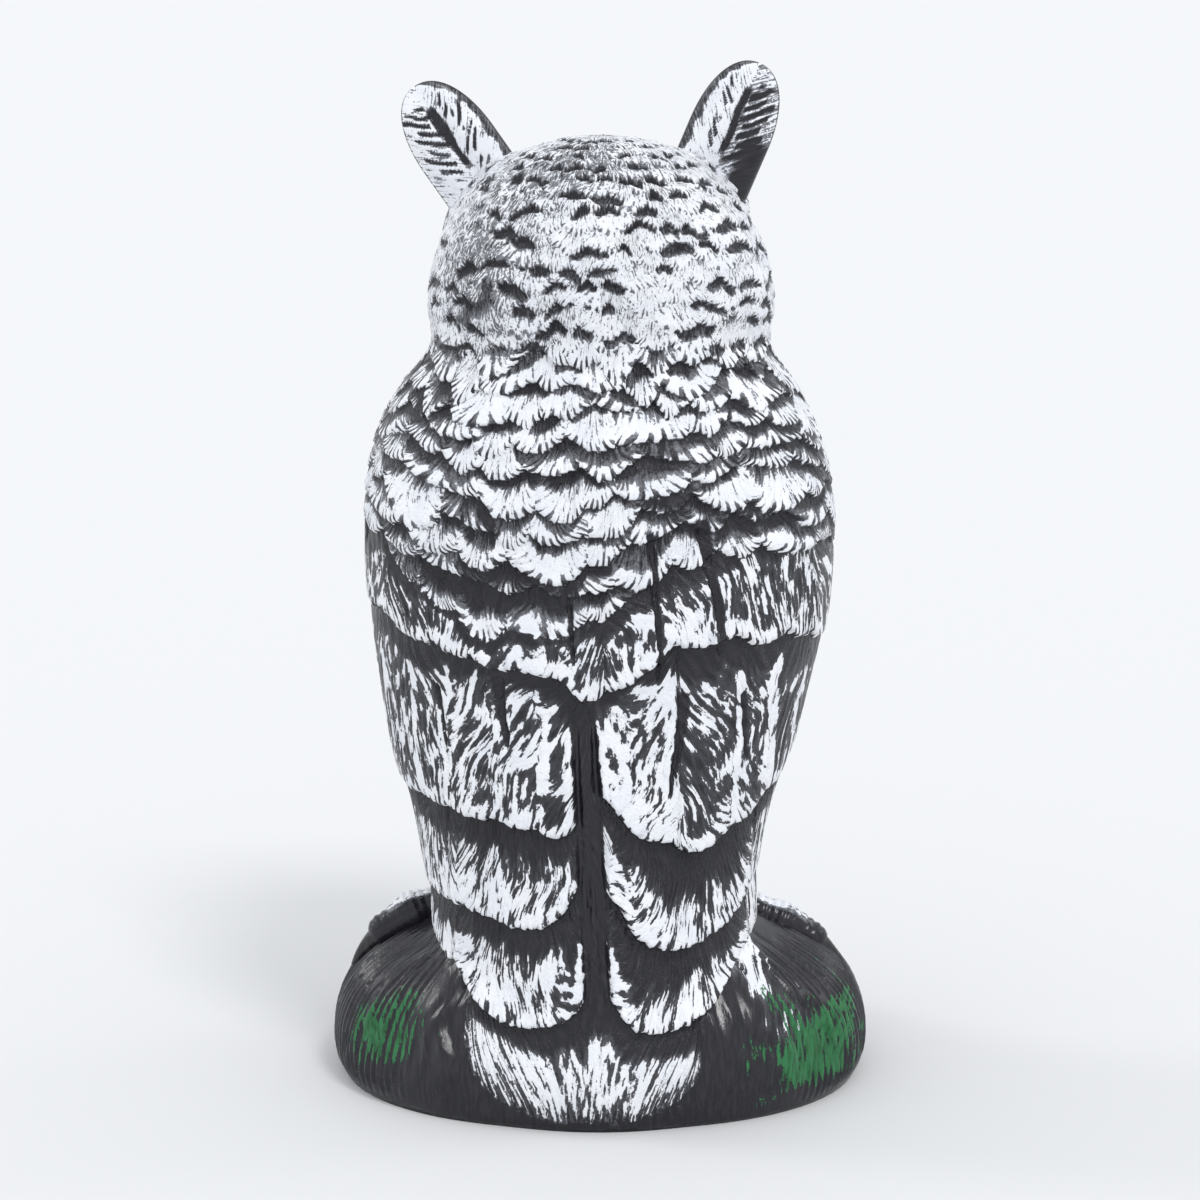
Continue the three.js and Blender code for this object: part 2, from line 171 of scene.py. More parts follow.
# Edges of the scalloped tiers, as shares of the way from the neck to the mantle's hem.
SCALLOPS = [0.79, 0.69, 0.60, 0.51, 0.43, 0.35, 0.27, 0.20, 0.13, 0.06]

# Deep slits between long feathers: angle and level at the top and at the foot, and width.
SLITS = [
    (-14.0, 232, -16.5, 172, 3.2),
    (-28.0, 236, -34.0, 180, 6.0),
    (-24.0, 170, -19.5, 126, 5.0),
    (-41.0, 168, -43.0, 140, 3.0),
    (29.0, 176, 26.0, 146, 5.5),
    (47.0, 170, 43.0, 138, 2.2),
    (9.0, 205, 7.0, 180, 2.5),
]

# Toes, with +1 for the left foot: start as shares of the mound's width outwards and depth forwards,
# heading outwards from straight ahead, and rise of the middle line as a share of the thickness.
TOES = [
    (1, 0.27, 0.02, 93, 0.14),
    (1, 0.22, 0.30, 34, 0.22),
    (1, 0.20, 0.32, -10, 0.22),
    (-1, 0.27, 0.02, 93, -0.14),
    (-1, 0.22, 0.30, 34, 0.22),
    (-1, 0.20, 0.32, -10, 0.22),
]

# Colours, as linear red, green and blue.
CHARCOAL = (0.008, 0.008, 0.012)
WORN_CHARCOAL = (0.020, 0.019, 0.026)
WHITE = (0.90, 0.91, 0.94)
DULL_WHITE = (0.82, 0.84, 0.89)
THIN_WHITE = (0.58, 0.60, 0.66)
EDGE_WHITE = (0.52, 0.53, 0.59)
FILM_WHITE = (0.6, 0.62, 0.68)
DEEP_GREEN = (0.007, 0.088, 0.024)
GREEN = (0.020, 0.165, 0.054)
HORN = (0.012, 0.012, 0.014)
WORN_HORN = (0.035, 0.034, 0.036)
AMBER = (0.85, 0.36, 0.02)
DEEP_AMBER = (0.55, 0.17, 0.01)
PUPIL = (0.008, 0.008, 0.009)
FLOOR_GREY = (0.749, 0.753, 0.758)

# Light all round, its colour and strength; lamps, each with where it shines from and its strength;
# their spread in degrees; the camera.
SKY = (0.95, 0.97, 1.0)
SKY_STRENGTH = 0.96
SUNS = [
    ("key", (-0.6, 1.0, 1.6), 0.85),
    ("left_side", (0.8, -0.25, 0.6), 0.35),
    ("right_side", (-0.8, -0.25, 0.6), 0.12),
]
SUN_SPREAD = 14
CAMERA_LENS = 94.5
CAMERA_PLACE = (0.0, 1.225, 0.439)
CAMERA_AIM = (0.0, 0.0, 0.1903)


def smooth(x, low, high):
    """Smooth rise from 0 at low to 1 at high."""
    t = np.clip((x - low) / (high - low), 0.0, 1.0)
    return t * t * (3.0 - 2.0 * t)


def fading(x, low, high):
    """Smooth fall from 1 at low to 0 at high."""
    return 1.0 - smooth(x, low, high)


def hill(distance, width):
    """Round hill of height 1, falling away over a width."""
    return np.exp(-((distance / width) ** 2))


def mix(a, b, share):
    """Value between a and b."""
    return a + (b - a) * share


def along(table, x, column=1):
    """Cubic curve through a table's rows, each slope taken across a row's two neighbours."""
    table = np.asarray(table, float)
    xs = table[:, 0]
    ys = table[:, column]
    slopes = np.concatenate([
        (ys[1:2] - ys[:1]) / (xs[1:2] - xs[:1]),
        (ys[2:] - ys[:-2]) / (xs[2:] - xs[:-2]),
        (ys[-1:] - ys[-2:-1]) / (xs[-1:] - xs[-2:-1]),
    ])
    i = np.clip(np.searchsorted(xs, x) - 1, 0, len(xs) - 2)
    span = xs[i + 1] - xs[i]
    t = np.clip((x - xs[i]) / span, 0.0, 1.0)
    rise = ys[i + 1] - ys[i]
    start = slopes[i] * span
    end = slopes[i + 1] * span
    return ys[i] + t * start + t**2 * (3 * rise - 2 * start - end) + t**3 * (start + end - 2 * rise)


GRAIN = np.random.default_rng(7).random((256, 256))


def grain(x, y):
    """Smooth random field from 0 to 1: a seeded table's values at whole x and y, blended."""
    i = np.floor(x).astype(int)
    j = np.floor(y).astype(int)
    u = smooth(x - i, 0.0, 1.0)
    v = smooth(y - j, 0.0, 1.0)
    low = mix(GRAIN[i % 256, j % 256], GRAIN[(i + 1) % 256, j % 256], u)
    high = mix(GRAIN[i % 256, (j + 1) % 256], GRAIN[(i + 1) % 256, (j + 1) % 256], u)
    return mix(low, high, v)


def reach(angle, side, depth, power):
    """Reach of a rounded box of half sizes side and depth along the angle from the back."""
    across = np.abs(np.sin(angle)) / np.maximum(side, 1e-4)
    inward = np.abs(np.cos(angle)) / np.maximum(depth, 1e-4)
    return (across**power + inward**power) ** (-1.0 / power)


def bird_skin(angle, z):
    """Distance from the axis to the bird's skin, without feathers; the angle is in radians."""
    level = np.minimum(z, SKULL_BASE) / BIRD_HEIGHT
    half_width = BIRD_WIDTH / 2
    half_depth = BIRD_DEPTH / 2
    left = np.sin(angle) > 0
    front = np.cos(angle) < 0
    side = np.where(left, along(OUTLINE, level, LEFT), along(OUTLINE, level, RIGHT)) * half_width
    depth = np.where(front, along(OUTLINE, level, FRONT), along(OUTLINE, level, BACK)) * half_depth
    above = np.maximum(z - SKULL_BASE, 0.0) / SKULL_RISE
    dome = np.sqrt(np.maximum(1.0 - above**2, 0.0))
    return dome * reach(angle, side, depth, np.where(front, 2.4, 2.15))


def mound_skin(angle, z):
    """Distance from the axis to the mound's skin."""
    above = (z - MOUND_WAIST) / (MOUND_HEIGHT - MOUND_WAIST)
    below = (MOUND_WAIST - z) / (3.2 * MOUND_WAIST)
    t = np.clip(np.maximum(above, below), 0.0, 1.0)
    size = (1.0 - t**MOUND_POWER) ** (1.0 / MOUND_POWER)
    return size * reach(angle, MOUND_WIDTH / 2, MOUND_DEPTH / 2, MOUND_POWER)


def mound_top(x, y):
    """Level of the mound's upper skin over a point of its plan."""
    inside = np.abs(2 * x / MOUND_WIDTH) ** MOUND_POWER + np.abs(2 * y / MOUND_DEPTH) ** MOUND_POWER
    rise = MOUND_HEIGHT - MOUND_WAIST
    return MOUND_WAIST + rise * np.maximum(1.0 - inside, 0.0) ** (1.0 / MOUND_POWER)


def blended_max(a, b, width):
    """Greater of two lengths, with the crease between them filled over a width."""
    h = np.clip(0.5 + 0.5 * (a - b) / width, 0.0, 1.0)
    return mix(b, a, h) + width * h * (1.0 - h)


def down_from_crown(z):
    """Distance from the crown along the skull and then straight down to a level."""
    rise = np.clip((z - SKULL_BASE) / SKULL_RISE, 0.0, 1.0)
    on_skull = SKULL_ARC * np.arccos(rise) / (np.pi / 2)
    return np.where(z > SKULL_BASE, on_skull, SKULL_ARC + SKULL_BASE - z)


def on_breast(degrees):
    """From 0 on the back and sides to 1 on the breast."""
    return smooth(np.abs(degrees), 105, 130)


def on_face_side(degrees):
    """From 0 behind the face to 1 on it."""
    return smooth(np.abs(degrees), 104, 114)


def face_carving(x, z):
    """Dished discs with raised rims, brows, the bridge of the beak, and a bib under it."""
    across = np.abs(x) / BIRD_HEIGHT
    up = z / BIRD_HEIGHT
    from_eye = np.hypot(across - EYE_ACROSS, 0.9 * (up - EYE_LEVEL))
    dish = -0.016 * hill(from_eye, 0.6 * DISC_RADIUS)
    rim = 0.011 * hill(from_eye - DISC_RADIUS, 0.28 * DISC_RADIUS) * smooth(across, 0.01, 0.05)
    brow = 0.021 * hill(up - 0.905 - 0.5 * across, 0.03) * fading(across, 0.07, 0.14)
    bridge = 0.016 * hill(across, 0.026) * hill(up - 0.885, 0.045)
    bib = 0.013 * hill(np.hypot(across, up - 0.76), 0.07)
    return BIRD_HEIGHT * (dish + rim + brow + bridge + bib)


def front_carving(angle, z):
    """Breast set in between the wings, and the feathered legs with the cleft between them."""
    from_front = np.pi - np.abs(angle)
    up = z / BIRD_HEIGHT
    wing_edge = mix(0.62, 1.25, fading(up, 0.22, 0.55))
    folded = smooth(up, 0.20, 0.27) * fading(up, 0.64, 0.72)
    breast = -0.012 * folded * fading(from_front, wing_edge - 0.06, wing_edge + 0.06)
    legs = 0.037 * hill(from_front - 0.6, 0.3) * hill(up - 0.2, 0.07)
    cleft = -0.011 * hill(from_front, 0.12) * hill(up - 0.21, 0.07)
    return BIRD_HEIGHT * (breast + legs + cleft)


def hem_step(degrees):
    """How far a hem stands off: full across the back, less on the sides and in front."""
    side = mix(HEM_LIFT, 0.3 * HEM_LIFT, smooth(np.abs(degrees), 45, 85))
    return mix(side, SCALLOP_LIFT, on_breast(degrees))


def hem_down(name, degrees):
    """Distance down from the crown to a hem."""
    return SKULL_ARC + SKULL_BASE - along(HEMS[name], degrees) * BIRD_HEIGHT


def strip_middle(z):
    """Place across of the middle of the bare strip between the lobes, which leans to one side."""
    return 0.6 + 0.0485 * (np.clip(z, 30.0, 170.0) - 48.0)


def ripple(x, row):
    """Random wave from -0.5 to 0.5 along x: the grain at one row of its table."""
    return grain(x, np.full_like(x, row)) - 0.5


def skin_grid():
    """Grid of the skin: close angles at the back and sides, levels evenly down the left side."""
    degrees = np.concatenate([
        np.arange(-180, -125, WIDE_STEP),
        np.arange(-125, 125, CLOSE_STEP),
        np.arange(125, 180, WIDE_STEP),
    ])
    z = np.linspace(BIRD_HEIGHT, 0.0, 4001)
    side = blended_max(bird_skin(np.pi / 2, z), mound_skin(np.pi / 2, z), CREASE_WIDTH)
    run = np.concatenate([[0.0], np.cumsum(np.hypot(np.diff(z), np.diff(side)))])
    levels = np.interp(np.linspace(1.5, run[-1], LEVELS), run, z)
    levels[-1] = 0.0
    return degrees, levels


def make_coat():
    """Bare coat over the skin's grid, with no feathers laid yet."""
    degrees, levels = skin_grid()
    phi, z = np.meshgrid(degrees, levels)
    angle = np.radians(phi)
    bird = bird_skin(angle, z)
    mound = mound_skin(angle, z)
    skin = blended_max(bird, mound, CREASE_WIDTH)
    girth = np.maximum(skin, 12.0)
    down = down_from_crown(z)
    x = skin * np.sin(angle)
    return SimpleNamespace(
        phi=phi, z=z, angle=angle, skin=skin, girth=girth, x=x, down=down,
        on_bird=smooth((bird - mound) / CREASE_WIDTH, -0.45, 0.9),
        strip_side=np.abs(x - strip_middle(z)),
        off_strip=1.0 - (np.cos(angle) > 0) * smooth(z, 35, 45) * fading(z, 155, 166),
        lift=np.zeros_like(z),
        paint=np.full_like(z, -1.5),
        comb=np.zeros_like(z),
        broken=np.zeros_like(z),
        feather=np.zeros_like(z),
        stroke=angle * girth / BARB_PITCH,
        run=down / BARB_PITCH,
    )


def evenly(coat, count, phase):
    """Feather number along a tier of equal feathers."""
    return (coat.phi + 180.0) / 360.0 * count + phase


def between(coat, bounds):
    """Feather number along a tier whose feathers meet at the given angles."""
    return np.interp(coat.phi, bounds, np.arange(len(bounds)))


def lay_feathers(coat, place, edge, above, thickness, seed, notch=4.0, arched=False, jitter=1.0,
                 stagger=0.2, sway=1.0, wander=0.0, fray=0.0, white=0.5, vary=0.35, thin=0.0,
                 soft=4.0, dense=0.9, rim_dense=0.9, pitch=BARB_PITCH, fan=0.5, tilt=0.0,
                 curl=0.9, slit=0.0, crown=0.16, barb=0.45, comb=1.0, broken=0.2, side_rim=0.0,
                 shade_gap=0.0, shade_share=1.0, empty=2.6, pit=0.0, where=None):
    """Lays a tier of feathers over those below it.

    A feather covers what lies above its edge, up to the tier above. Its edge is the tier's line,
    which wanders, is drawn up towards its two neighbours by the notch and is frayed into points;
    its sides are staggered and sway. It is thickest at the edge and thins out upwards, with a
    groove against each neighbour and fine barbs, which fan out towards its tip, tilt and curl.
    Paint is thickest along the rim and ends in strokes after its white share of the length. Under
    the edge a band is left without paint: the bare dark plastic that dry-brush leaves in the
    recess, and painted shade under the edge as well; of an arched tier only some of the arches
    between two tips have it. Each point keeps its feather's number, and its place across and along
    the barbs.
    """
    phi = coat.phi
    z = coat.z
    rng = np.random.default_rng(seed)
    count = int(place.max()) + 3
    shift, drop, fat, bare, tip, lean_of = rng.uniform(-1.0, 1.0, (6, count))
    open_shade = rng.uniform(0.0, 1.0, count) < shade_share
    closing = smooth(180.0 - np.abs(phi), 0.0, 20.0)
    edge = edge + 2.0 * wander * closing * ripple(phi / 14.0 + 3.7 * seed, 0.61 * seed)
    turn = np.gradient(place[0], phi[0])
    half_width = 0.5 * np.radians(1.0 / turn) * coat.girth
    first = np.floor(place).astype(int)
    place = place + stagger * closing * mix(shift[first], shift[first + 1], place - first)
    bend = grain(phi / 11.0 + 1.7 * seed, z / 14.0 + seed) - 0.5
    place += sway * closing * bend / half_width
    k = np.clip(np.floor(place).astype(int), 0, count - 1)
    across = 2.0 * (place - k) - 1.0
    skewed = across + 0.3 * tip[k] * (1.0 - across**2)
    points = ripple(phi * coat.girth / 95.0 + 3.0 * seed, 0.37 * seed)
    drawn_up = 0.5 - 0.5 * np.cos(np.pi * skewed) if arched else np.abs(skewed) ** 1.8
    own_edge = edge + jitter * drop[k] * closing * (1.0 - across**2) - notch * drawn_up
    own_edge += fray * points
    height = own_edge - coat.down
    if where is not None:
        height -= FAR_OFF * (1.0 - where)
    length = np.maximum(edge - above, 4.0)
    share = np.clip(height / length, 0.0, 1.2)

    even_height = height - fray * points
    stroke = across * half_width * (1.0 + fan * np.clip(even_height / length, 0.0, 1.0))
    leaning = tilt[k] if np.ndim(tilt) else tilt * lean_of[k]
    wave = stroke / pitch + leaning * even_height / pitch
    wave += curl * (grain(stroke / 15.0 + 13 * k, even_height / 20.0 + 5 * seed) - 0.5)
    ridge = 0.5 + 0.5 * np.cos(2 * np.pi * wave)
    deep = 0.35 + 0.65 * grain(stroke / 9.0 + 31 * k, height / 9.0 + seed)
    body = np.clip(1.0 - share, 0.0, 1.0) * (1.0 + crown * fat[k])
    rounding = -0.3 * np.exp(-np.maximum(height, 0.0) / 0.8)
    arch = crown * (1.0 - across**2)
    side_gap = (1.0 - np.abs(across)) * half_width
    groove = -slit * 0.5 * fading(side_gap, 0.0, 1.8)
    lift = thickness * (body + rounding + arch + groove)
    lift -= barb * deep * (1.0 - ridge) ** 1.5

    slope = np.gradient(edge, axis=1) / (np.gradient(coat.angle, axis=1) * coat.girth)
    lean = 1.0 / np.sqrt(1.0 + slope**2)
    off_strip = np.maximum(coat.strip_side - 0.5 * STRIP_WIDTH, 0.0)
    rim = np.minimum(height * lean, 1.6 * off_strip + FAR_OFF * coat.off_strip)
    if side_rim > 0.0:
        without = (side_gap > 0.35 * half_width) | (bare[k] > 0.1)
        rim = np.minimum(rim, side_gap / side_rim + FAR_OFF * without)
    ragged = grain(stroke / 4.0 + 7 * k, height / 14.0 + seed) - 0.5
    ragged += 0.9 * ripple(stroke / 11.0 + 5 * k, 0.43 * seed)
    reach_up = length * white * (1.0 + vary * bare[k]) * (1.0 - thin * across**2)
    reach_up += 0.3 * length * ragged
    inside_dense = dense[k] if np.ndim(dense) else dense
    most = mix(rim_dense, inside_dense, smooth(rim, 3.0, 8.0))
    paint = np.minimum((reach_up - rim) / soft, most)
    paint -= 1.5 * slit * fading(side_gap, 0.4, 1.4)

    cover = smooth(height, -0.5, 0.8)
    inside = height > 0.0
    # Painted shade under the edge, along with the bare plastic that dry-brush leaves in the recess:
    # paint is taken off in a band below the edge, and the skin is dented a little there.
    if np.max(shade_gap) > 0.0:
        under = -height * lean + 0.35 * shade_gap * (grain(phi * coat.girth / 200.0, z / 9.0) - 0.5)
        if arched:
            joint = np.clip(np.round(place).astype(int), 0, count - 1)
            from_joint = (1.0 - np.abs(across)) / mix(0.6, 1.0, 0.5 + 0.5 * bare[joint])
            deepest = shade_gap * np.maximum(1.0 - from_joint**2, 0.0) ** 0.4
            deepest = deepest * (1.0 + 0.35 * fat[joint])
            shade = fading(under, 0.65 * deepest, deepest + 0.05) * open_shade[joint]
        else:
            shade = fading(under, 0.55 * shade_gap, 1.15 * shade_gap) * open_shade[k]
        shade = shade * ~inside
        coat.paint -= empty * shade
        coat.lift -= pit * shade
    coat.lift = mix(coat.lift, lift, cover)
    for name, values in (("paint", paint), ("stroke", wave + 17.0 * k), ("run", height / pitch),
                         ("comb", comb), ("broken", broken), ("feather", 100 * seed + k)):
        setattr(coat, name, np.where(inside, values, getattr(coat, name)))


def cut_slits(coat):
    """Cuts the deep slits: wedges that narrow towards their foot, without paint."""
    for top_angle, top, foot_angle, foot, width in SLITS:
        t = np.clip((top - coat.z) / (top - foot), 0.0, 1.0)
        bend = 1.5 * ripple(t * 4.0 + top, foot / 7.0)
        off = np.abs(np.radians(coat.phi - mix(top_angle, foot_angle, t)) * coat.girth + bend)
        half = 0.5 * width * mix(1.0, 0.25, t)
        within = smooth(coat.z, foot, foot + 5.0) * fading(coat.z, top - 2.0, top)
        cut = fading(off, 0.6 * half, 1.2 * half) * within
        coat.lift -= 1.3 * cut
        coat.paint -= 2.8 * cut


def dress(coat):
    """Lays every tier from the tail's tuft up to the crown, each over the one below it."""
    phi = coat.phi
    up = coat.z / BIRD_HEIGHT
    mantle, coverts, wings, rump, tail = (hem_down(name, phi) for name in HEMS)
    breast = on_breast(phi)
    right = smooth(-phi, 0, 6) * fading(-phi, 45, 70)

    in_tuft = fading(np.abs(phi - 4), 36, 40)
    lay_feathers(coat, between(coat, TUFT_EDGES), tail, np.minimum(rump, tail - 34.0),
                 0.15 * HEM_LIFT * in_tuft, 3, notch=0.0, jitter=0.0, sway=0.0, fray=8.0,
                 white=1.0, soft=9.0, dense=0.3, rim_dense=-0.1, fan=-0.55, curl=1.0, barb=0.5,
                 comb=0.6, broken=1.0, where=in_tuft)
    under_tip = 1.0 + 0.5 * hill(phi + 8, 7)
    # Depth of the painted shade under the lowest lobes, less on the left.
    left_shade_gap = 11.0 - 6.0 * smooth(phi, 12, 28)
    lobed = dict(notch=1.0, fan=0.9, tilt=0.1, crown=0.12)
    leaved = dict(notch=2.4, fan=-0.5, tilt=COVERT_LEAN, crown=0.04, slit=0.05, side_rim=1.1)
    tiers = [
        (rump, wings, LOBE_EDGES, 21, 0.72 - 0.34 * right, 0.30, left_shade_gap, lobed),
        (wings, coverts, LOBE_EDGES, 22, 0.70 - 0.32 * right, 0.20, 11.0, lobed),
        (coverts, mantle, COVERT_EDGES, 23, under_tip, COVERT_PAINT, 11.0, leaved),
    ]
    for edge, above, edges, seed, white, dense, shade_gap, kind in tiers:
        lay_feathers(coat, between(coat, edges), edge, above, hem_step(phi), seed, stagger=0.12,
                     sway=2.4, wander=0.8, fray=1.6, white=mix(white, 0.5, breast), vary=0.12,
                     soft=4.5, dense=dense, curl=1.9, barb=0.6, comb=0.7, broken=1.5,
                     shade_gap=mix(shade_gap, 5.0, breast), **kind)
        lay_feathers(coat, evenly(coat, 20, 0.5), mix(above, edge, 0.53), above, SCALLOP_LIFT,
                     seed + 20, notch=5.0, thin=0.5, soft=2.5, fan=1.0, slit=0.5, shade_gap=5.0,
                     where=breast)
    # Depth of the painted shade under the mantle's hem, less at two places near the middle of the
    # back.
    hem_shade_gap = 12.0 - 10.0 * hill(phi + 8, 8) - 6.0 * hill(phi - 26, 18)
    lay_feathers(coat, evenly(coat, 22, 0.1), mantle, mix(NECK_DOWN, mantle, 0.68),
                 hem_step(phi), 24, notch=3.5, jitter=2.0, stagger=0.3, sway=2.4, wander=2.0,
                 fray=2.0, white=1.1, soft=9.0, dense=-0.05, fan=-0.3, tilt=0.45, curl=1.4,
                 crown=0.05, barb=0.6, comb=0.8, broken=1.4, shade_gap=hem_shade_gap)

    lower_left = smooth(phi, 2, 14) * fading(phi, 50, 70)
    raised = 0.12 * smooth(np.abs(phi - 3), 8, 34) * (1.0 - lower_left)
    on_silhouette = smooth(np.abs(phi), 58, 84) * (1.0 - breast)
    for tier, share in enumerate(SCALLOPS):
        lowest = tier == 0
        edge = mix(NECK_DOWN, mantle, share * (1.0 + 0.11 * lower_left) - lowest * raised)
        near_neck = float(smooth(share, 0.40, 0.15))
        low = float(smooth(share, 0.45, 0.7))
        # Uneven depth of the painted shade under each row of scallops.
        uneven = (0.3 + 0.25 * low) + 1.4 * grain(phi / 11.0 + 5.0 * tier, coat.z / 22.0)
        uneven += (-0.35 if lowest else 0.9) * low * lower_left
        lay_feathers(coat, evenly(coat, 23, 0.5 * tier), edge,
                     edge - 0.09 * (mantle - NECK_DOWN),
                     SCALLOP_LIFT * (1.0 - 0.6 * on_silhouette), 30 + tier, notch=3.8,
                     arched=near_neck > 0.7, jitter=3.2, stagger=0.4, sway=2.0, wander=4.5,
                     fray=1.4, white=0.8 + 0.2 * near_neck - 0.1 * low, vary=0.65,
                     thin=0.2 - 0.2 * near_neck, soft=3.2, dense=0.65, fan=1.4, tilt=0.25,
                     curl=2.4, crown=0.05, comb=1.1, broken=0.6,
                     shade_gap=uneven * mix(5.2, 5.0, near_neck), shade_share=0.85 - 0.05 * near_neck,
                     empty=1.7, pit=0.6)
    for tier in range(HEAD_ROWS):
        step = HEAD_ROWS - 1 - tier
        edge = HEAD_PITCH * (1.1 + 0.5 * step)
        grown = min((0.5 * step + 0.6) / 3.0, 1.0)
        count = 26 if step > 1 else 18
        lay_feathers(coat, evenly(coat, count, 0.5 * tier), edge, edge - 0.5 * HEAD_PITCH,
                     (0.5 + 0.5 * grown) * 0.4 * SCALLOP_LIFT, 50 + tier, notch=3.0, arched=True,
                     jitter=1.2, stagger=0.35, wander=2.6 * grown, fray=1.0, white=1.4, vary=0.2,
                     soft=2.0, dense=0.42, rim_dense=0.6, pitch=HEAD_BARB_PITCH, fan=0.8,
                     tilt=0.3, curl=2.0, barb=0.12, comb=0.5, broken=0.35,
                     shade_gap=2.6 + 0.34 * min(step, 5), shade_share=0.53, empty=1.8, pit=0.8)

    on_head = fading(coat.down, 0.36 * BIRD_HEIGHT, 0.42 * BIRD_HEIGHT)
    thin_side = hill(phi - 48, 26) * hill(up - 0.88, 0.09)
    thin_top = hill(phi - 10, 50) * hill(up - 0.975, 0.03)
    worn = hill(phi - 50, 18) * hill(up - 0.845, 0.05)
    worn = smooth(worn * grain(phi / 4.0 + 2, coat.z / 5.0), 0.47, 0.57)
    on_side = smooth(np.abs(phi), 40, 60) * (1.0 - breast) * fading(up, 0.74, 0.8)
    coat.paint -= on_head * (0.62 * thin_side + 0.65 * thin_top + 1.2 * worn) + 0.2 * on_side
    coat.paint += fading(coat.down, 5.0, 11.0)
    cut_slits(coat)


def rib_wave(coat):
    """Wave of the mound's upright ribs: 1 on a rib and -1 between two, bent by the grain."""
    bent = 0.8 * grain(coat.phi / 4.2, coat.z / 30.0)
    return np.cos(2 * np.pi * (coat.phi / RIB_PITCH + bent))


def mound_relief(coat, in_tuft):
    """Ribs round the mound's sides, and at its back the folds, the flap and the hollows."""
    phi = coat.phi
    z = coat.z
    level = z / MOUND_HEIGHT
    fold = hill(phi - 47, 9) * hill(level - 0.5, 0.3)
    hollow = hill(np.abs(phi) - 72, 10) * hill(level - 0.76, 0.12)
    ribbed = smooth(np.abs(phi), 46, 60) * smooth(z, 1.0, 8.0) * fading(z, 52, 60)
    ribs = 0.75 * ribbed * (rib_wave(coat) - 0.3)
    creases = 1.3 * fading(np.abs(phi), 62, 80) * smooth(z, 8, 26)
    warp = 2.0 * grain(phi / 9.0, z / 12.0)
    folds = creases * (2.2 * grain(phi / 4.5 + 60 + warp, z / 26.0 + 3) - 1.1)
    folds += 1.2 * creases * (grain(phi / 1.6 + warp, z / 14.0 + 9) - 0.5)
    off_flap = phi - (45.0 - 6.0 * smooth(z, 52, 24) + 1.5 * np.sin(z / 4.5))
    flap = smooth(off_flap, -2.5, 0.0) * fading(off_flap, 0.0, 14.0) * hill(z - 36, 20)
    folds += 4.2 * flap
    return ribs + folds * (1.0 - in_tuft) - FOLD_DEPTH * (fold + hollow)


def swell_tuft_roots(coat):
    """Raises the head round the foot of each ear tuft by a swelling that fades with distance."""
    for side, lean, root in EAR_TUFTS:
        turn = np.radians(side * lean)
        x = coat.x - side * TUFT_OUT
        y = coat.skin * np.cos(coat.angle) + 0.5 * TUFT_OUT
        z = coat.z - root * BIRD_HEIGHT
        across = x * np.cos(turn) - z * np.sin(turn)
        out = x * np.sin(turn) + z * np.cos(turn)
        near = np.hypot(across / (0.5 * TUFT_WIDTH), y / (0.65 * TUFT_THICKNESS))
        coat.lift += 3.0 * np.exp(-1.8 * np.maximum(near - 1.0, 0.0)) * (out > 0)


def finish_paint(coat, feathered, on_face, strip):
    """Paint off the feathers: rays round the eyes, leggings on the mound, and bare plastic."""
    phi = coat.phi
    z = coat.z
    across = np.abs(coat.x) - EYE_ACROSS * BIRD_HEIGHT
    above = z - EYE_LEVEL * BIRD_HEIGHT
    from_eye = np.hypot(across, above)
    disc = DISC_RADIUS * BIRD_HEIGHT
    rings = 1.6 * hill(from_eye - 0.45 * disc, 0.12 * disc)
    rings += 1.2 * hill(from_eye - 1.15 * disc, 0.1 * disc)
    splay = hill(phi + 52, 11) * hill(z - 35, 12)
    bare = ~(feathered | on_face)
    coat.paint -= 3.0 * strip
    for name, on_disc, on_mound in (
        ("paint", 0.75 - rings, 2.75 * splay - 3.0),
        ("stroke", np.arctan2(above, across) * 7.0, coat.angle * coat.girth / BARB_PITCH),
        ("run", from_eye / BARB_PITCH, coat.down / BARB_PITCH),
        ("broken", 0.6, 1.2),
        ("feather", -1.0, -2.0),
    ):
        kept = np.where(bare, on_mound, getattr(coat, name))
        setattr(coat, name, np.where(on_face, on_disc, kept))
    coat.comb = np.where(~feathered | (strip > 0.5), 0.0, coat.comb)

    middle = -46.5 - 18.5 * smooth(z, 44, 80)
    width = 5.5 + 5.5 * smooth(z, 48, 62)
    legging = hill(phi - middle, width) * smooth(z, 41, 48) * fading(z, 95, 115)
    coat.paint = np.maximum(coat.paint, 3.6 * legging - 2.6)


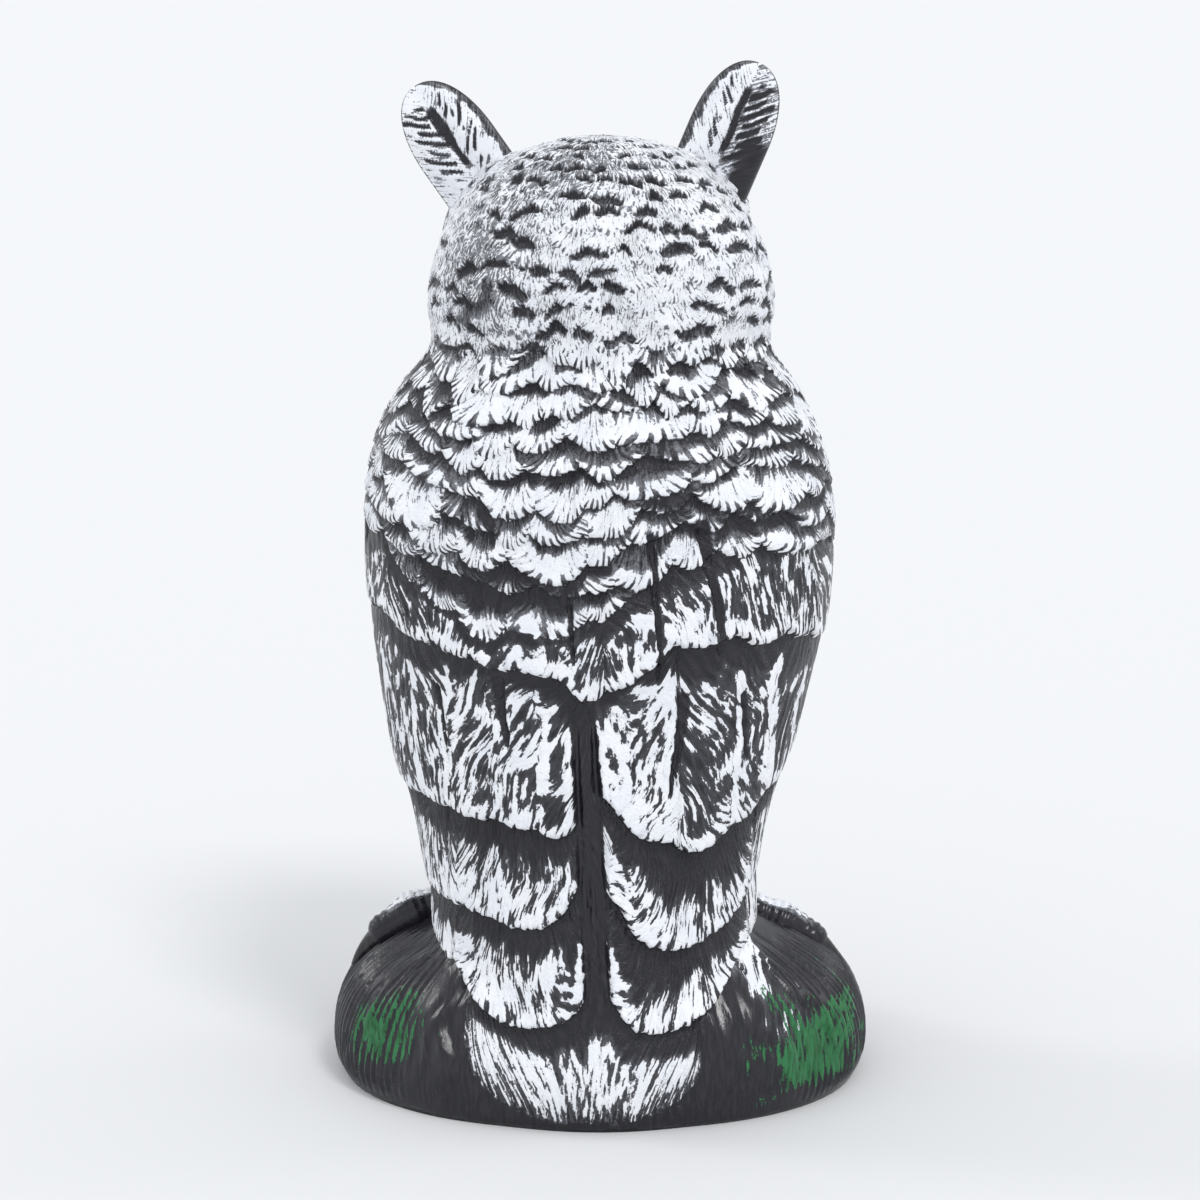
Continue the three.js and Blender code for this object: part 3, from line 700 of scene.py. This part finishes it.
def carve(coat):
    """Fades the feathers out on the mound and the face, and adds the large carving."""
    phi = coat.phi
    up = coat.z / BIRD_HEIGHT
    below_rump = coat.down - hem_down("rump", phi)
    above_rump = smooth(-below_rump, -3.0, 1.0) * fading(np.abs(phi), 55, 75)
    in_tuft = smooth(below_rump, -3.0, 0.0) * fading(coat.down - hem_down("tail", phi), 0.0, 3.0)
    above_chin = on_face_side(phi) * smooth(up, 0.75, 0.79)
    masked = above_chin * fading(up, 0.935, 0.965)
    feathered = np.maximum(coat.on_bird, above_rump) * (1.0 - masked)
    face = above_chin * fading(up, 0.94, 0.97)
    strip = fading(coat.strip_side, 0.4 * STRIP_WIDTH, 0.58 * STRIP_WIDTH) * (1 - coat.off_strip)
    wrinkle = grain((coat.x - strip_middle(coat.z)) / 1.6 + 40, coat.z / 22.0) - 0.5
    bare = 1.0 - coat.on_bird
    relief = mound_relief(coat, in_tuft)

    lift = coat.lift * np.maximum(feathered, in_tuft)
    lift = lift + face * face_carving(coat.x, coat.z) + front_carving(coat.angle, coat.z)
    lift = mix(lift, 0.3 + 2.4 * wrinkle, strip)
    coat.lift = (lift + bare * relief) * smooth(coat.z, 0.0, 1.5)
    swell_tuft_roots(coat)
    coat.bare = bare * (1.0 - in_tuft)
    finish_paint(coat, np.maximum(feathered, in_tuft) > 0.5, masked > 0.5, strip)


def coat_points(coat):
    """Points of the coat: the skin pushed outwards by its lift, and upwards near the crown."""
    polar = np.pi / 2 * np.clip((coat.z - SKULL_BASE) / SKULL_RISE, 0.0, 1.0) ** 1.4
    outward = coat.skin + coat.lift * np.cos(polar)
    return np.stack([
        outward * np.sin(coat.angle),
        outward * np.cos(coat.angle),
        coat.z + coat.lift * np.sin(polar),
    ], axis=-1)


def ring_grid(along_form, count):
    """Grid of places along a form and of turns round it, in radians."""
    turns = np.linspace(0, 2 * np.pi, count, endpoint=False)
    return np.meshgrid(along_form, turns, indexing="ij")


def ring_faces(rings, size):
    """Quads between closed rings, and the fans that close the first and last ring on a point."""
    r, c = np.meshgrid(np.arange(rings - 1), np.arange(size), indexing="ij")
    here = r * size + c
    after = r * size + (c + 1) % size
    quads = np.stack([here, after, after + size, here + size], -1)
    ring = np.arange(size)
    last = (rings - 1) * size
    start = np.stack([np.full(size, rings * size), (ring + 1) % size, ring], -1)
    end = np.stack([np.full(size, rings * size + 1), last + ring, last + (ring + 1) % size], -1)
    return quads.reshape(-1, 4), np.concatenate([start, end])


def closed_mesh(name, grid, start, end, fields=None):
    """Closed mesh from rings of points and two end points; the fields become its attributes."""
    rings, size = grid.shape[:2]
    points = np.concatenate([grid.reshape(-1, 3), [start, end]]) * MM
    quads, fans = ring_faces(rings, size)
    mesh = bpy.data.meshes.new(name)
    mesh.vertices.add(len(points))
    mesh.vertices.foreach_set("co", points.ravel())
    corners = np.concatenate([quads.ravel(), fans.ravel()])
    mesh.loops.add(len(corners))
    mesh.loops.foreach_set("vertex_index", corners)
    sides = np.repeat([4, 3], [len(quads), len(fans)])
    mesh.polygons.add(len(sides))
    mesh.polygons.foreach_set("loop_start", np.cumsum(sides) - sides)
    mesh.update(calc_edges=True)
    for key, values in (fields or {}).items():
        attribute = mesh.attributes.new(key, "FLOAT", "POINT")
        full = np.concatenate([values.ravel(), [values[0].mean(), values[-1].mean()]])
        attribute.data.foreach_set("value", full.astype(np.float32))
    mesh.polygons.foreach_set("use_smooth", np.ones(len(sides), bool))
    mesh.validate()
    return mesh


def add_strokes(mesh, stroke, run, feather=None):
    """UV map of a mesh: across the barbs and along them, counted in barbs.

    Each face takes the barbs of its first corner's feather. At a corner that lies on another
    feather, or past the seam where a ring closes, they are carried on by the last step.
    """
    feather = np.zeros_like(stroke) if feather is None else feather
    here = np.stack([stroke, run], -1)
    before, after = (np.roll(here, step, axis=1) for step in (1, -1))
    feather_before, feather_after = (np.roll(feather, step, axis=1) for step in (1, -1))
    place = np.arange(stroke.shape[1])
    at_end = place == place[-1]
    apart_before = ((feather_before != feather) | (place == 0))[..., None]
    apart_after = ((feather_after != feather) | at_end)[..., None]
    apart_below = (feather[:-1] != feather[1:])[..., None]
    apart_over = ((feather_after[1:] != feather[:-1]) | at_end)[..., None]
    onward = np.where(apart_before, 0.0, here - before)
    downward = np.zeros_like(here)
    downward[1:] = np.where(apart_below, 0.0, here[1:] - here[:-1])
    second = np.where(apart_after, here + onward, after)
    third = np.where(apart_over, here[:-1] + onward[:-1] + downward[:-1], after[1:])
    fourth = np.where(apart_below, here[:-1] + downward[:-1], here[1:])
    quads = np.stack([here[:-1], second[:-1], third, fourth], 2)
    first_fan = np.stack([(here[0] + second[0]) / 2, second[0], here[0]], 1)
    last_fan = np.stack([(here[-1] + second[-1]) / 2, here[-1], second[-1]], 1)
    corners = np.concatenate([part.reshape(-1, 2) for part in (quads, first_fan, last_fan)])
    layer = mesh.uv_layers.new(name="strokes")
    layer.data.foreach_set("uv", corners.astype(np.float32).ravel())


def thinned(mesh, name, triangles):
    """Mesh with its faces merged where it is smoothest, down to a number of triangles."""
    work = bpy.data.objects.new(name + "_work", mesh)
    bpy.context.scene.collection.objects.link(work)
    thin = work.modifiers.new("thin", "DECIMATE")
    thin.ratio = triangles / (len(mesh.loops) - 2 * len(mesh.polygons))
    graph = bpy.context.evaluated_depsgraph_get()
    result = bpy.data.meshes.new_from_object(work.evaluated_get(graph), depsgraph=graph)
    bpy.data.objects.remove(work)
    result.name = name
    return result


def add_piece(name, mesh, materials):
    """Puts a finished mesh in the scene as a piece of the owl."""
    piece = bpy.data.objects.new(name, mesh)
    bpy.context.scene.collection.objects.link(piece)
    mesh.materials.clear()
    for material in materials:
        mesh.materials.append(material)
    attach(piece, "root")
    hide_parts(NODE)


def green_dabs(coat):
    """Green on the mound's sides: strokes along the ribs on the left, a patch on the right."""
    spots = grain(coat.phi / 4.0 + 9, coat.z / 7.0 + 4) - 0.5
    left = 1.2 * hill(coat.phi - 59, 11) * hill(coat.z - 30, 15)
    right = 1.4 * hill(coat.phi + 57, 18) * hill(coat.z - 24, 18)
    left += 0.45 * rib_wave(coat) + 0.8 * spots - 0.85
    right += 0.25 * rib_wave(coat) + 0.9 * spots - 0.75
    return np.maximum(left, right)


def build_body(material):
    """Bird and mound in one closed skin."""
    coat = make_coat()
    dress(coat)
    carve(coat)
    fields = {
        "paint": np.clip(coat.paint, -3.0, 1.0),
        "green": np.where(coat.bare > 0.5, green_dabs(coat), -1.0),
        "comb": coat.comb,
        "broken": coat.broken,
    }
    mesh = closed_mesh("owl_body", coat_points(coat), (0, 0, BIRD_HEIGHT), (0, 0, 0), fields)
    add_strokes(mesh, coat.stroke, coat.run, coat.feather)
    add_piece("owl_body", thinned(mesh, "owl_body", BODY_TRIANGLES), [material])


def plain_fields(paint):
    """Fields of a piece without feathers: its paint, lightly broken, and no green or comb."""
    none = np.zeros_like(paint)
    return {"paint": paint, "green": none - 1.0, "comb": none, "broken": none + 0.5}


def ear_tuft(name, side, lean, root, dark_foot, seed, material):
    """Leaf with a round tip, a groove along its middle and barbs that slant outwards to its rim.

    Rings of a flat oval are carried along the leaf and shrink to its tip. The groove, and the barbs
    at either side of it, are cut into both faces.
    """
    rng = np.random.default_rng(seed)
    s, turn = ring_grid(np.linspace(0.0, 1.0, 90)[:-1], 150)
    t = np.sin(0.5 * np.pi * s)
    narrow = np.clip((t - 0.45) / 0.55, 0.0, 1.0)
    plump = (1.0 - narrow**2.2) ** (1 / 2.2)
    thickness = TUFT_THICKNESS / 2 * mix(1.3, 0.8, t)
    thickness *= np.maximum(plump, 0.35 * smooth(1 - t, 0, 0.02))
    across = TUFT_WIDTH / 2 * plump * np.cos(turn)
    outer = side * across
    along_leaf = t * TUFT_LENGTH
    behind = np.sin(turn)

    wobble = 1.4 * (grain(outer / 5.0 + seed, along_leaf / 9.0) - 0.5)
    middle = np.abs(outer + wobble)
    slant = np.where(outer > 0, 0.8, 1.3)
    barb = (along_leaf - slant * middle + 2.0 * wobble) / TUFT_BARB_PITCH
    k = np.floor(barb).astype(int) + 8
    near_line = np.abs(barb - np.floor(barb) - 0.5) * TUFT_BARB_PITCH
    start, stop, wide = rng.uniform(0.0, 1.0, (3, 2, 40))
    half = (outer > 0).astype(int)
    begins = 1.0 + 3.5 * start[half, k] + 2.0 * (1 - half)
    ends = mix(7.0, 12.5, stop[half, k]) - 2.0 * (1 - half)
    width = mix(0.3, 0.65, wide[half, k]) * (1.0 + 0.9 * dark_foot * half)
    line = fading(near_line, width, width + 0.7) * smooth(middle, begins - 0.7, begins)
    line *= fading(middle, ends, ends + 1.0)
    line = line * smooth(along_leaf, 14, 19) * fading(along_leaf, 47, 50)
    rib_width = 0.7 + (1.1 - 0.8 * dark_foot) * hill(t - 0.68, 0.16)
    rib = fading(middle, rib_width, rib_width + 0.8) * smooth(t, 0.30, 0.36) * fading(t, 0.78, 0.84)
    hollow = 0.35 * thickness * hill(outer / (TUFT_WIDTH / 2), 0.3)
    cut = hollow + 0.8 * line + 1.0 * rib
    bend = 0.045 * TUFT_LENGTH
    back = thickness * behind - cut * np.sign(behind) * np.abs(behind) ** 0.5 + bend * t**2

    from_rim = 0.5 * TUFT_WIDTH * plump - np.abs(outer)
    uneven = 2.2 * grain(along_leaf / 2.2 + seed, outer / 6.0)
    inner_band = fading(from_rim, 1.0 + uneven, 2.0 + uneven) * smooth(t, 0.12, 0.3) * (outer < 0)
    outline = fading(from_rim, 0.15, 0.8)
    foot_dark = dark_foot * smooth(outer, 4.5, 9.0) * fading(t, 0.42, 0.55)
    paint = 0.58 - 2.4 * line - 2.6 * rib - 1.6 * inner_band - 2.6 * foot_dark - 1.4 * outline
    paint -= 0.5 * dark_foot * (outer > 0) + 0.8 * fading(behind, -0.2, 0.1)

    out = np.sin(np.radians(side * lean))
    upright = np.cos(np.radians(side * lean))
    x = across * upright + along_leaf * out + side * TUFT_OUT
    y = back - 0.5 * TUFT_OUT
    z = along_leaf * upright - across * out + root * BIRD_HEIGHT
    points = np.stack([x, y, z], -1)
    tip = (
        side * TUFT_OUT + TUFT_LENGTH * out,
        bend - 0.5 * TUFT_OUT,
        root * BIRD_HEIGHT + TUFT_LENGTH * upright,
    )
    mesh = closed_mesh(name, points, points[0].mean(axis=0), tip, plain_fields(paint))
    add_strokes(mesh, (along_leaf - slant * middle) / 2.2, middle / 2.2)
    add_piece(name, mesh, [material])


def beak(material):
    """Hooked half cone, its rear let into the face: half ovals carried down a bent line."""
    top = EYE_LEVEL * BIRD_HEIGHT
    front = -bird_skin(np.pi, np.array(top))
    buried = BEAK_WIDTH / 3
    t, turn = ring_grid(np.linspace(0, 1, 50)[:-1] ** 0.8, 72)
    taper = np.sqrt(1.0 - t)
    forward = BEAK_HOOK * np.sin(np.pi * (0.1 + 0.6 * t)) + 0.5 * BEAK_WIDTH * taper
    out = np.maximum(np.sin(turn), 0.0)
    ridge = 1.0 + 0.06 * hill(np.cos(turn), 0.25)
    nostril = 1.2 * hill(np.abs(np.cos(turn)) - 0.62, 0.14) * hill(t - 0.16, 0.05)
    y = front + buried - (forward + buried) * out**0.8 * ridge + nostril * (np.sin(turn) > 0)
    points = np.stack([BEAK_WIDTH / 2 * taper * np.cos(turn), y, top - BEAK_LENGTH * t], -1)
    start = (0, front, top + 0.1 * BEAK_LENGTH)
    end = (0, front - 0.7 * BEAK_HOOK, top - BEAK_LENGTH)
    add_piece("owl_beak", closed_mesh("owl_beak", points, start, end), [material])


def eye(name, side, material):
    """Ball with a flattened, slightly raised iris: rings from its front to its rear."""
    x = EYE_ACROSS * BIRD_HEIGHT
    z = EYE_LEVEL * BIRD_HEIGHT
    angle = np.pi - np.arcsin(x / bird_skin(np.radians(155), np.array(z)))
    y = bird_skin(angle, np.array(z)) * np.cos(angle) + 0.36 * EYE_DIAMETER
    away, turn = ring_grid(np.linspace(0, np.pi, 50)[1:-1], 80)
    radius = EYE_DIAMETER / 2 * (1.0 - 0.02 * hill(away - 0.95, 0.05))
    outward = side * np.radians(14)
    sideways = radius * np.sin(away) * np.cos(turn)
    forward = radius * np.cos(away)
    points = np.stack([
        side * x + sideways * np.cos(outward) + forward * np.sin(outward),
        y + sideways * np.sin(outward) - forward * np.cos(outward),
        z - radius * np.sin(away) * np.sin(turn),
    ], -1)
    middle = np.array([side * x, y, z])
    pole = EYE_DIAMETER / 2 * np.array([np.sin(outward), -np.cos(outward), 0.0])
    mesh = closed_mesh(name, points, middle + pole, middle - pole, {"away": away})
    add_strokes(mesh, turn, away)
    add_piece(name, mesh, [material])


def toe(name, side, across, ahead, heading, rise, plastic, horn):
    """Toe with its talon: rings carried over the mound from the foot outwards.

    The rings swell at two joints and carry low scutes; past the toe's end they turn into the talon,
    which narrows to its tip.
    """
    foot = np.array([side * across * MOUND_WIDTH, -ahead * MOUND_DEPTH])
    turn_to = side * np.radians(heading)
    direction = np.array([np.sin(turn_to), -np.cos(turn_to)])
    whole = TOE_LENGTH + TALON_LENGTH

    def walk(distance):
        """Places on the mound at distances from the foot, measured along the ground."""
        steps = np.linspace(0.0, 1.3 * whole, 600)
        x = foot[0] + direction[0] * steps
        y = foot[1] + direction[1] * steps
        z = mound_top(x, y)
        run = np.concatenate([[0.0], np.cumsum(np.hypot(np.diff(steps), np.diff(z)))])
        return np.stack([np.interp(distance, run, c) for c in (x, y, z)], -1)

    distance = np.concatenate([
        np.linspace(0.0, TOE_LENGTH, 64),
        TOE_LENGTH + np.linspace(0.02, 0.97, 30) * TALON_LENGTH,
    ])
    on_talon = distance > TOE_LENGTH
    t = np.clip(distance / TOE_LENGTH, 0.0, 1.0)
    toe_radius = TOE_WIDTH / 2 * (0.9 + 0.1 * np.cos(4 * np.pi * t)) * (1.0 - 0.45 * t**8)
    past = np.clip((distance - TOE_LENGTH) / TALON_LENGTH, 0.0, 1.0)
    radius = np.where(on_talon, 0.24 * TOE_WIDTH * (1.0 - 0.8 * past), toe_radius)
    here = walk(distance)
    onward = walk(distance + 3.0) - here
    onward /= np.linalg.norm(onward, axis=1, keepdims=True)
    sideways = np.array([-direction[1], direction[0], 0.0])
    upward = np.cross(onward, sideways)
    middle = here + upward * (2 * rise * toe_radius)[:, None] * (1.0 - 0.8 * past[:, None] ** 2)
    along_toe, turn = ring_grid(distance, 56)
    top = np.maximum(np.sin(turn), 0.0)
    scute = np.cos(2 * np.pi * along_toe / SCUTE_PITCH) * top * (~on_talon)[:, None]
    ring = radius[:, None] + 0.28 * scute * fading(t, 0.85, 1.0)[:, None]
    points = (
        middle[:, None, :]
        + (ring * np.cos(turn))[..., None] * sideways
        + (ring * np.sin(turn))[..., None] * upward[:, None, :]
    )
    crest = smooth(np.sin(turn), 0.6, 0.97) * fading(t, 0.55, 0.95)[:, None]
    paint = np.where(on_talon[:, None], -3.0, 3.2 * crest + 0.3 * scute - 2.5)
    mesh = closed_mesh(name, points, here[0], walk(np.array([whole]))[0], plain_fields(paint))
    add_strokes(mesh, radius[:, None] * turn / BARB_PITCH, along_toe / BARB_PITCH)
    size = turn.shape[1]
    kinds = np.zeros(len(mesh.polygons), np.int32)
    kinds[int(np.argmax(on_talon)) * size:(len(distance) - 1) * size] = 1
    kinds[-size:] = 1
    add_piece(name, mesh, [plastic, horn])
    mesh.polygons.foreach_set("material_index", kinds)


class Nodes:
    """Short calls for building a material's nodes."""

    def __init__(self, name):
        self.material = bpy.data.materials.new(name)
        self.material.use_nodes = True
        self.tree = self.material.node_tree
        self.shader = self.tree.nodes["Principled BSDF"]

    def put(self, values, made):
        """Sets a node's inputs, each to a value, a colour or another node's output."""
        for key, value in values.items():
            socket = made.inputs[key]
            if isinstance(value, bpy.types.NodeSocket):
                self.tree.links.new(value, socket)
            elif isinstance(value, tuple) and len(socket.default_value) == 4:
                socket.default_value = (*value, 1.0)
            else:
                socket.default_value = value

    def node(self, kind, values, **settings):
        """Outputs of a new node with these settings and inputs."""
        made = self.tree.nodes.new("ShaderNode" + kind)
        for key, value in settings.items():
            setattr(made, key, value)
        self.put(values, made)
        return made.outputs

    def strokes_map(self):
        return self.node("UVMap", {}, uv_map="strokes")[0]

    def place(self):
        return self.node("TexCoord", {})["Object"]

    def attribute(self, name):
        return self.node("Attribute", {}, attribute_name=name)["Fac"]

    def maths(self, operation, *values):
        """One operation carried through all the values, from the first on."""
        total = values[0]
        for value in values[1:] or (0.0,):
            total = self.node("Math", {0: total, 1: value}, operation=operation)[0]
        return total

    def add(self, *values):
        return self.maths("ADD", *values)

    def times(self, *values):
        return self.maths("MULTIPLY", *values)

    def around_zero(self, value, *amounts):
        return self.times(self.add(value, -0.5), *amounts)

    def noise(self, place, scale, detail=2.0, distortion=0.0):
        scaled = self.node("Mapping", {"Vector": place, "Scale": scale})[0]
        values = {"Vector": scaled, "Scale": 1.0, "Detail": detail, "Distortion": distortion}
        return self.node("TexNoise", values)["Fac"]

    def ranged(self, value, low, high, to_low=0.0, to_high=1.0):
        values = {"Value": value, "From Min": low, "From Max": high, "To Min": to_low,
                  "To Max": to_high}
        return self.node("MapRange", values, interpolation_type="SMOOTHSTEP")[0]

    def blend(self, share, a, b):
        return self.node("Mix", {0: share, 6: a, 7: b}, data_type="RGBA")[2]

    def finish(self, height, depth, values):
        """The material, once its shader has these values and bumps of a depth in metres."""
        bumps = self.node("Bump", {"Distance": depth, "Height": height})[0]
        self.put({**values, "Normal": bumps}, self.shader)
        return self.material


def painted_plastic():
    """Satin charcoal plastic with white brushed over the feathers and green on the mound."""
    n = Nodes("painted_plastic")
    strokes_map = n.strokes_map()
    place = n.place()
    across_barbs, along_barbs = n.node("SeparateXYZ", {0: strokes_map})[:2]

    strokes = n.noise(strokes_map, (2.2, 0.44, 1.0), 3.0)
    wedges = n.noise(strokes_map, (0.8, 0.2, 1.0), 1.5)
    fine = n.noise(place, (1000.0, 1000.0, 1000.0))
    curls = n.noise(place, (420.0, 420.0, 420.0), 1.0, 2.2)
    cloud = n.noise(place, (60.0, 60.0, 60.0))
    tooth = n.ranged(n.maths("COSINE", n.times(across_barbs, 2 * np.pi)), 0.25, -0.6)
    picked = n.ranged(n.noise(strokes_map, (0.75, 0.12, 1.0), 0.0), 0.36, 0.52)
    near_tip = n.ranged(along_barbs, 0.25, 1.7, 1.0, 0.0)
    broken = n.attribute("broken")
    feathery = n.ranged(n.attribute("comb"), 0.0, 0.3)
    speckled = n.ranged(broken, 0.4, 1.3, 1.6, 0.7)
    total = n.add(
        n.attribute("paint"),
        n.around_zero(strokes, 3.0),
        n.around_zero(strokes, 1.6, broken),
        n.around_zero(wedges, 2.8, broken),
        n.around_zero(curls, 1.0, speckled),
        n.around_zero(fine, 0.6, speckled),
        n.times(tooth, picked, near_tip, n.attribute("comb"), -2.0),
    )
    white_mask = n.ranged(total, -0.06, 0.1)
    film = n.ranged(total, -1.6, 0.1, 0.0, n.ranged(broken, 0.35, 1.2, 0.36, 0.06))
    dabs = n.add(n.attribute("green"), n.around_zero(fine, 0.6), n.around_zero(strokes, 1.2))
    green_mask = n.ranged(dabs, -0.05, 0.07)

    dark = n.blend(n.ranged(strokes, 0.35, 0.7), CHARCOAL, WORN_CHARCOAL)
    white = n.blend(n.ranged(cloud, 0.35, 0.7), WHITE, DULL_WHITE)
    white = n.blend(n.ranged(strokes, 0.46, 0.32, 0.0, 0.5), white, THIN_WHITE)
    white = n.blend(n.ranged(total, 0.4, 0.1, 0.0, 0.35), white, EDGE_WHITE)
    green = n.blend(n.ranged(strokes, 0.35, 0.62), DEEP_GREEN, GREEN)
    colour = n.blend(white_mask, n.blend(film, dark, FILM_WHITE), white)

    rough = n.ranged(cloud, 0.3, 0.7, 0.19, 0.29)
    rough = n.add(rough, n.times(feathery, 0.06), n.times(white_mask, 0.22))
    height = n.add(*map(n.around_zero, (strokes, curls, fine), (1.1, 0.5, 0.3)))
    height = n.times(height, n.ranged(feathery, 0.0, 1.0, 0.09, 1.0))
    height = n.add(height, n.times(white_mask, 0.22), n.times(green_mask, 0.22))
    return n.finish(height, 0.0008, {
        "Base Color": n.blend(green_mask, colour, green),
        "Roughness": rough,
        "Specular IOR Level": 0.42,
    })


def glossy_horn():
    """Black horn of the beak and talons, with fine streaks along it."""
    n = Nodes("glossy_horn")
    streaks = n.noise(n.place(), (700.0, 700.0, 160.0), 3.0)
    return n.finish(streaks, 0.0003, {
        "Base Color": n.blend(n.ranged(streaks, 0.35, 0.65), HORN, WORN_HORN),
        "Roughness": n.ranged(streaks, 0.3, 0.7, 0.2, 0.32),
    })


def amber_eyes():
    """Painted amber iris with a black pupil and rim under gloss."""
    n = Nodes("amber_eyes")
    away = n.attribute("away")
    rays = n.noise(n.strokes_map(), (9.0, 1.5, 1.0))
    iris = n.blend(n.ranged(rays, 0.3, 0.7), AMBER, DEEP_AMBER)
    iris = n.blend(n.ranged(away, 0.86, 0.98), iris, HORN)
    return n.finish(rays, 0.0001, {
        "Base Color": n.blend(n.ranged(away, 0.42, 0.46), PUPIL, iris),
        "Roughness": n.ranged(rays, 0.3, 0.7, 0.08, 0.14),
        "Coat Weight": 1.0,
    })


def build_stage():
    """Pale floor, soft studio light and the camera of the photograph."""
    bpy.ops.mesh.primitive_plane_add(size=8.0)
    floor = bpy.context.object
    floor.name = "floor"
    n = Nodes("pale_floor")
    n.put({"Base Color": FLOOR_GREY, "Roughness": 0.9, "Specular IOR Level": 0.0}, n.shader)
    floor.data.materials.append(n.material)

    scene = bpy.context.scene
    scene.world = bpy.data.worlds.new("studio")
    scene.world.use_nodes = True
    sky = scene.world.node_tree.nodes["Background"]
    sky.inputs["Color"].default_value = (*SKY, 1.0)
    sky.inputs["Strength"].default_value = SKY_STRENGTH
    for name, place, strength in SUNS:
        light = bpy.data.lights.new(name, "SUN")
        light.energy = strength
        light.angle = np.radians(SUN_SPREAD)
        lamp = bpy.data.objects.new(name, light)
        lamp.location = place
        lamp.rotation_euler = (-lamp.location).to_track_quat("-Z", "Y").to_euler()
        scene.collection.objects.link(lamp)

    camera = bpy.data.objects.new("camera", bpy.data.cameras.new("camera"))
    camera.data.lens = CAMERA_LENS
    camera.location = CAMERA_PLACE
    aim = Vector(CAMERA_AIM) - camera.location
    camera.rotation_euler = aim.to_track_quat("-Z", "Y").to_euler()
    scene.collection.objects.link(camera)
    scene.camera = camera
    scene.view_settings.view_transform = "Standard"


build_stage()
plastic = painted_plastic()
horn = glossy_horn()
amber = amber_eyes()
build_body(plastic)
for side, lean, root in EAR_TUFTS:
    label = "left" if side > 0 else "right"
    ear_tuft(f"{label}_ear_tuft", side, lean, root, float(side < 0), 5 + side, plastic)
    eye(f"{label}_eye", side, amber)
beak(horn)
for i, (side, across, ahead, heading, rise) in enumerate(TOES):
    label = "left" if side > 0 else "right"
    toe(f"{label}_toe_{i % 3 + 1}", side, across, ahead, heading, rise, plastic, horn)
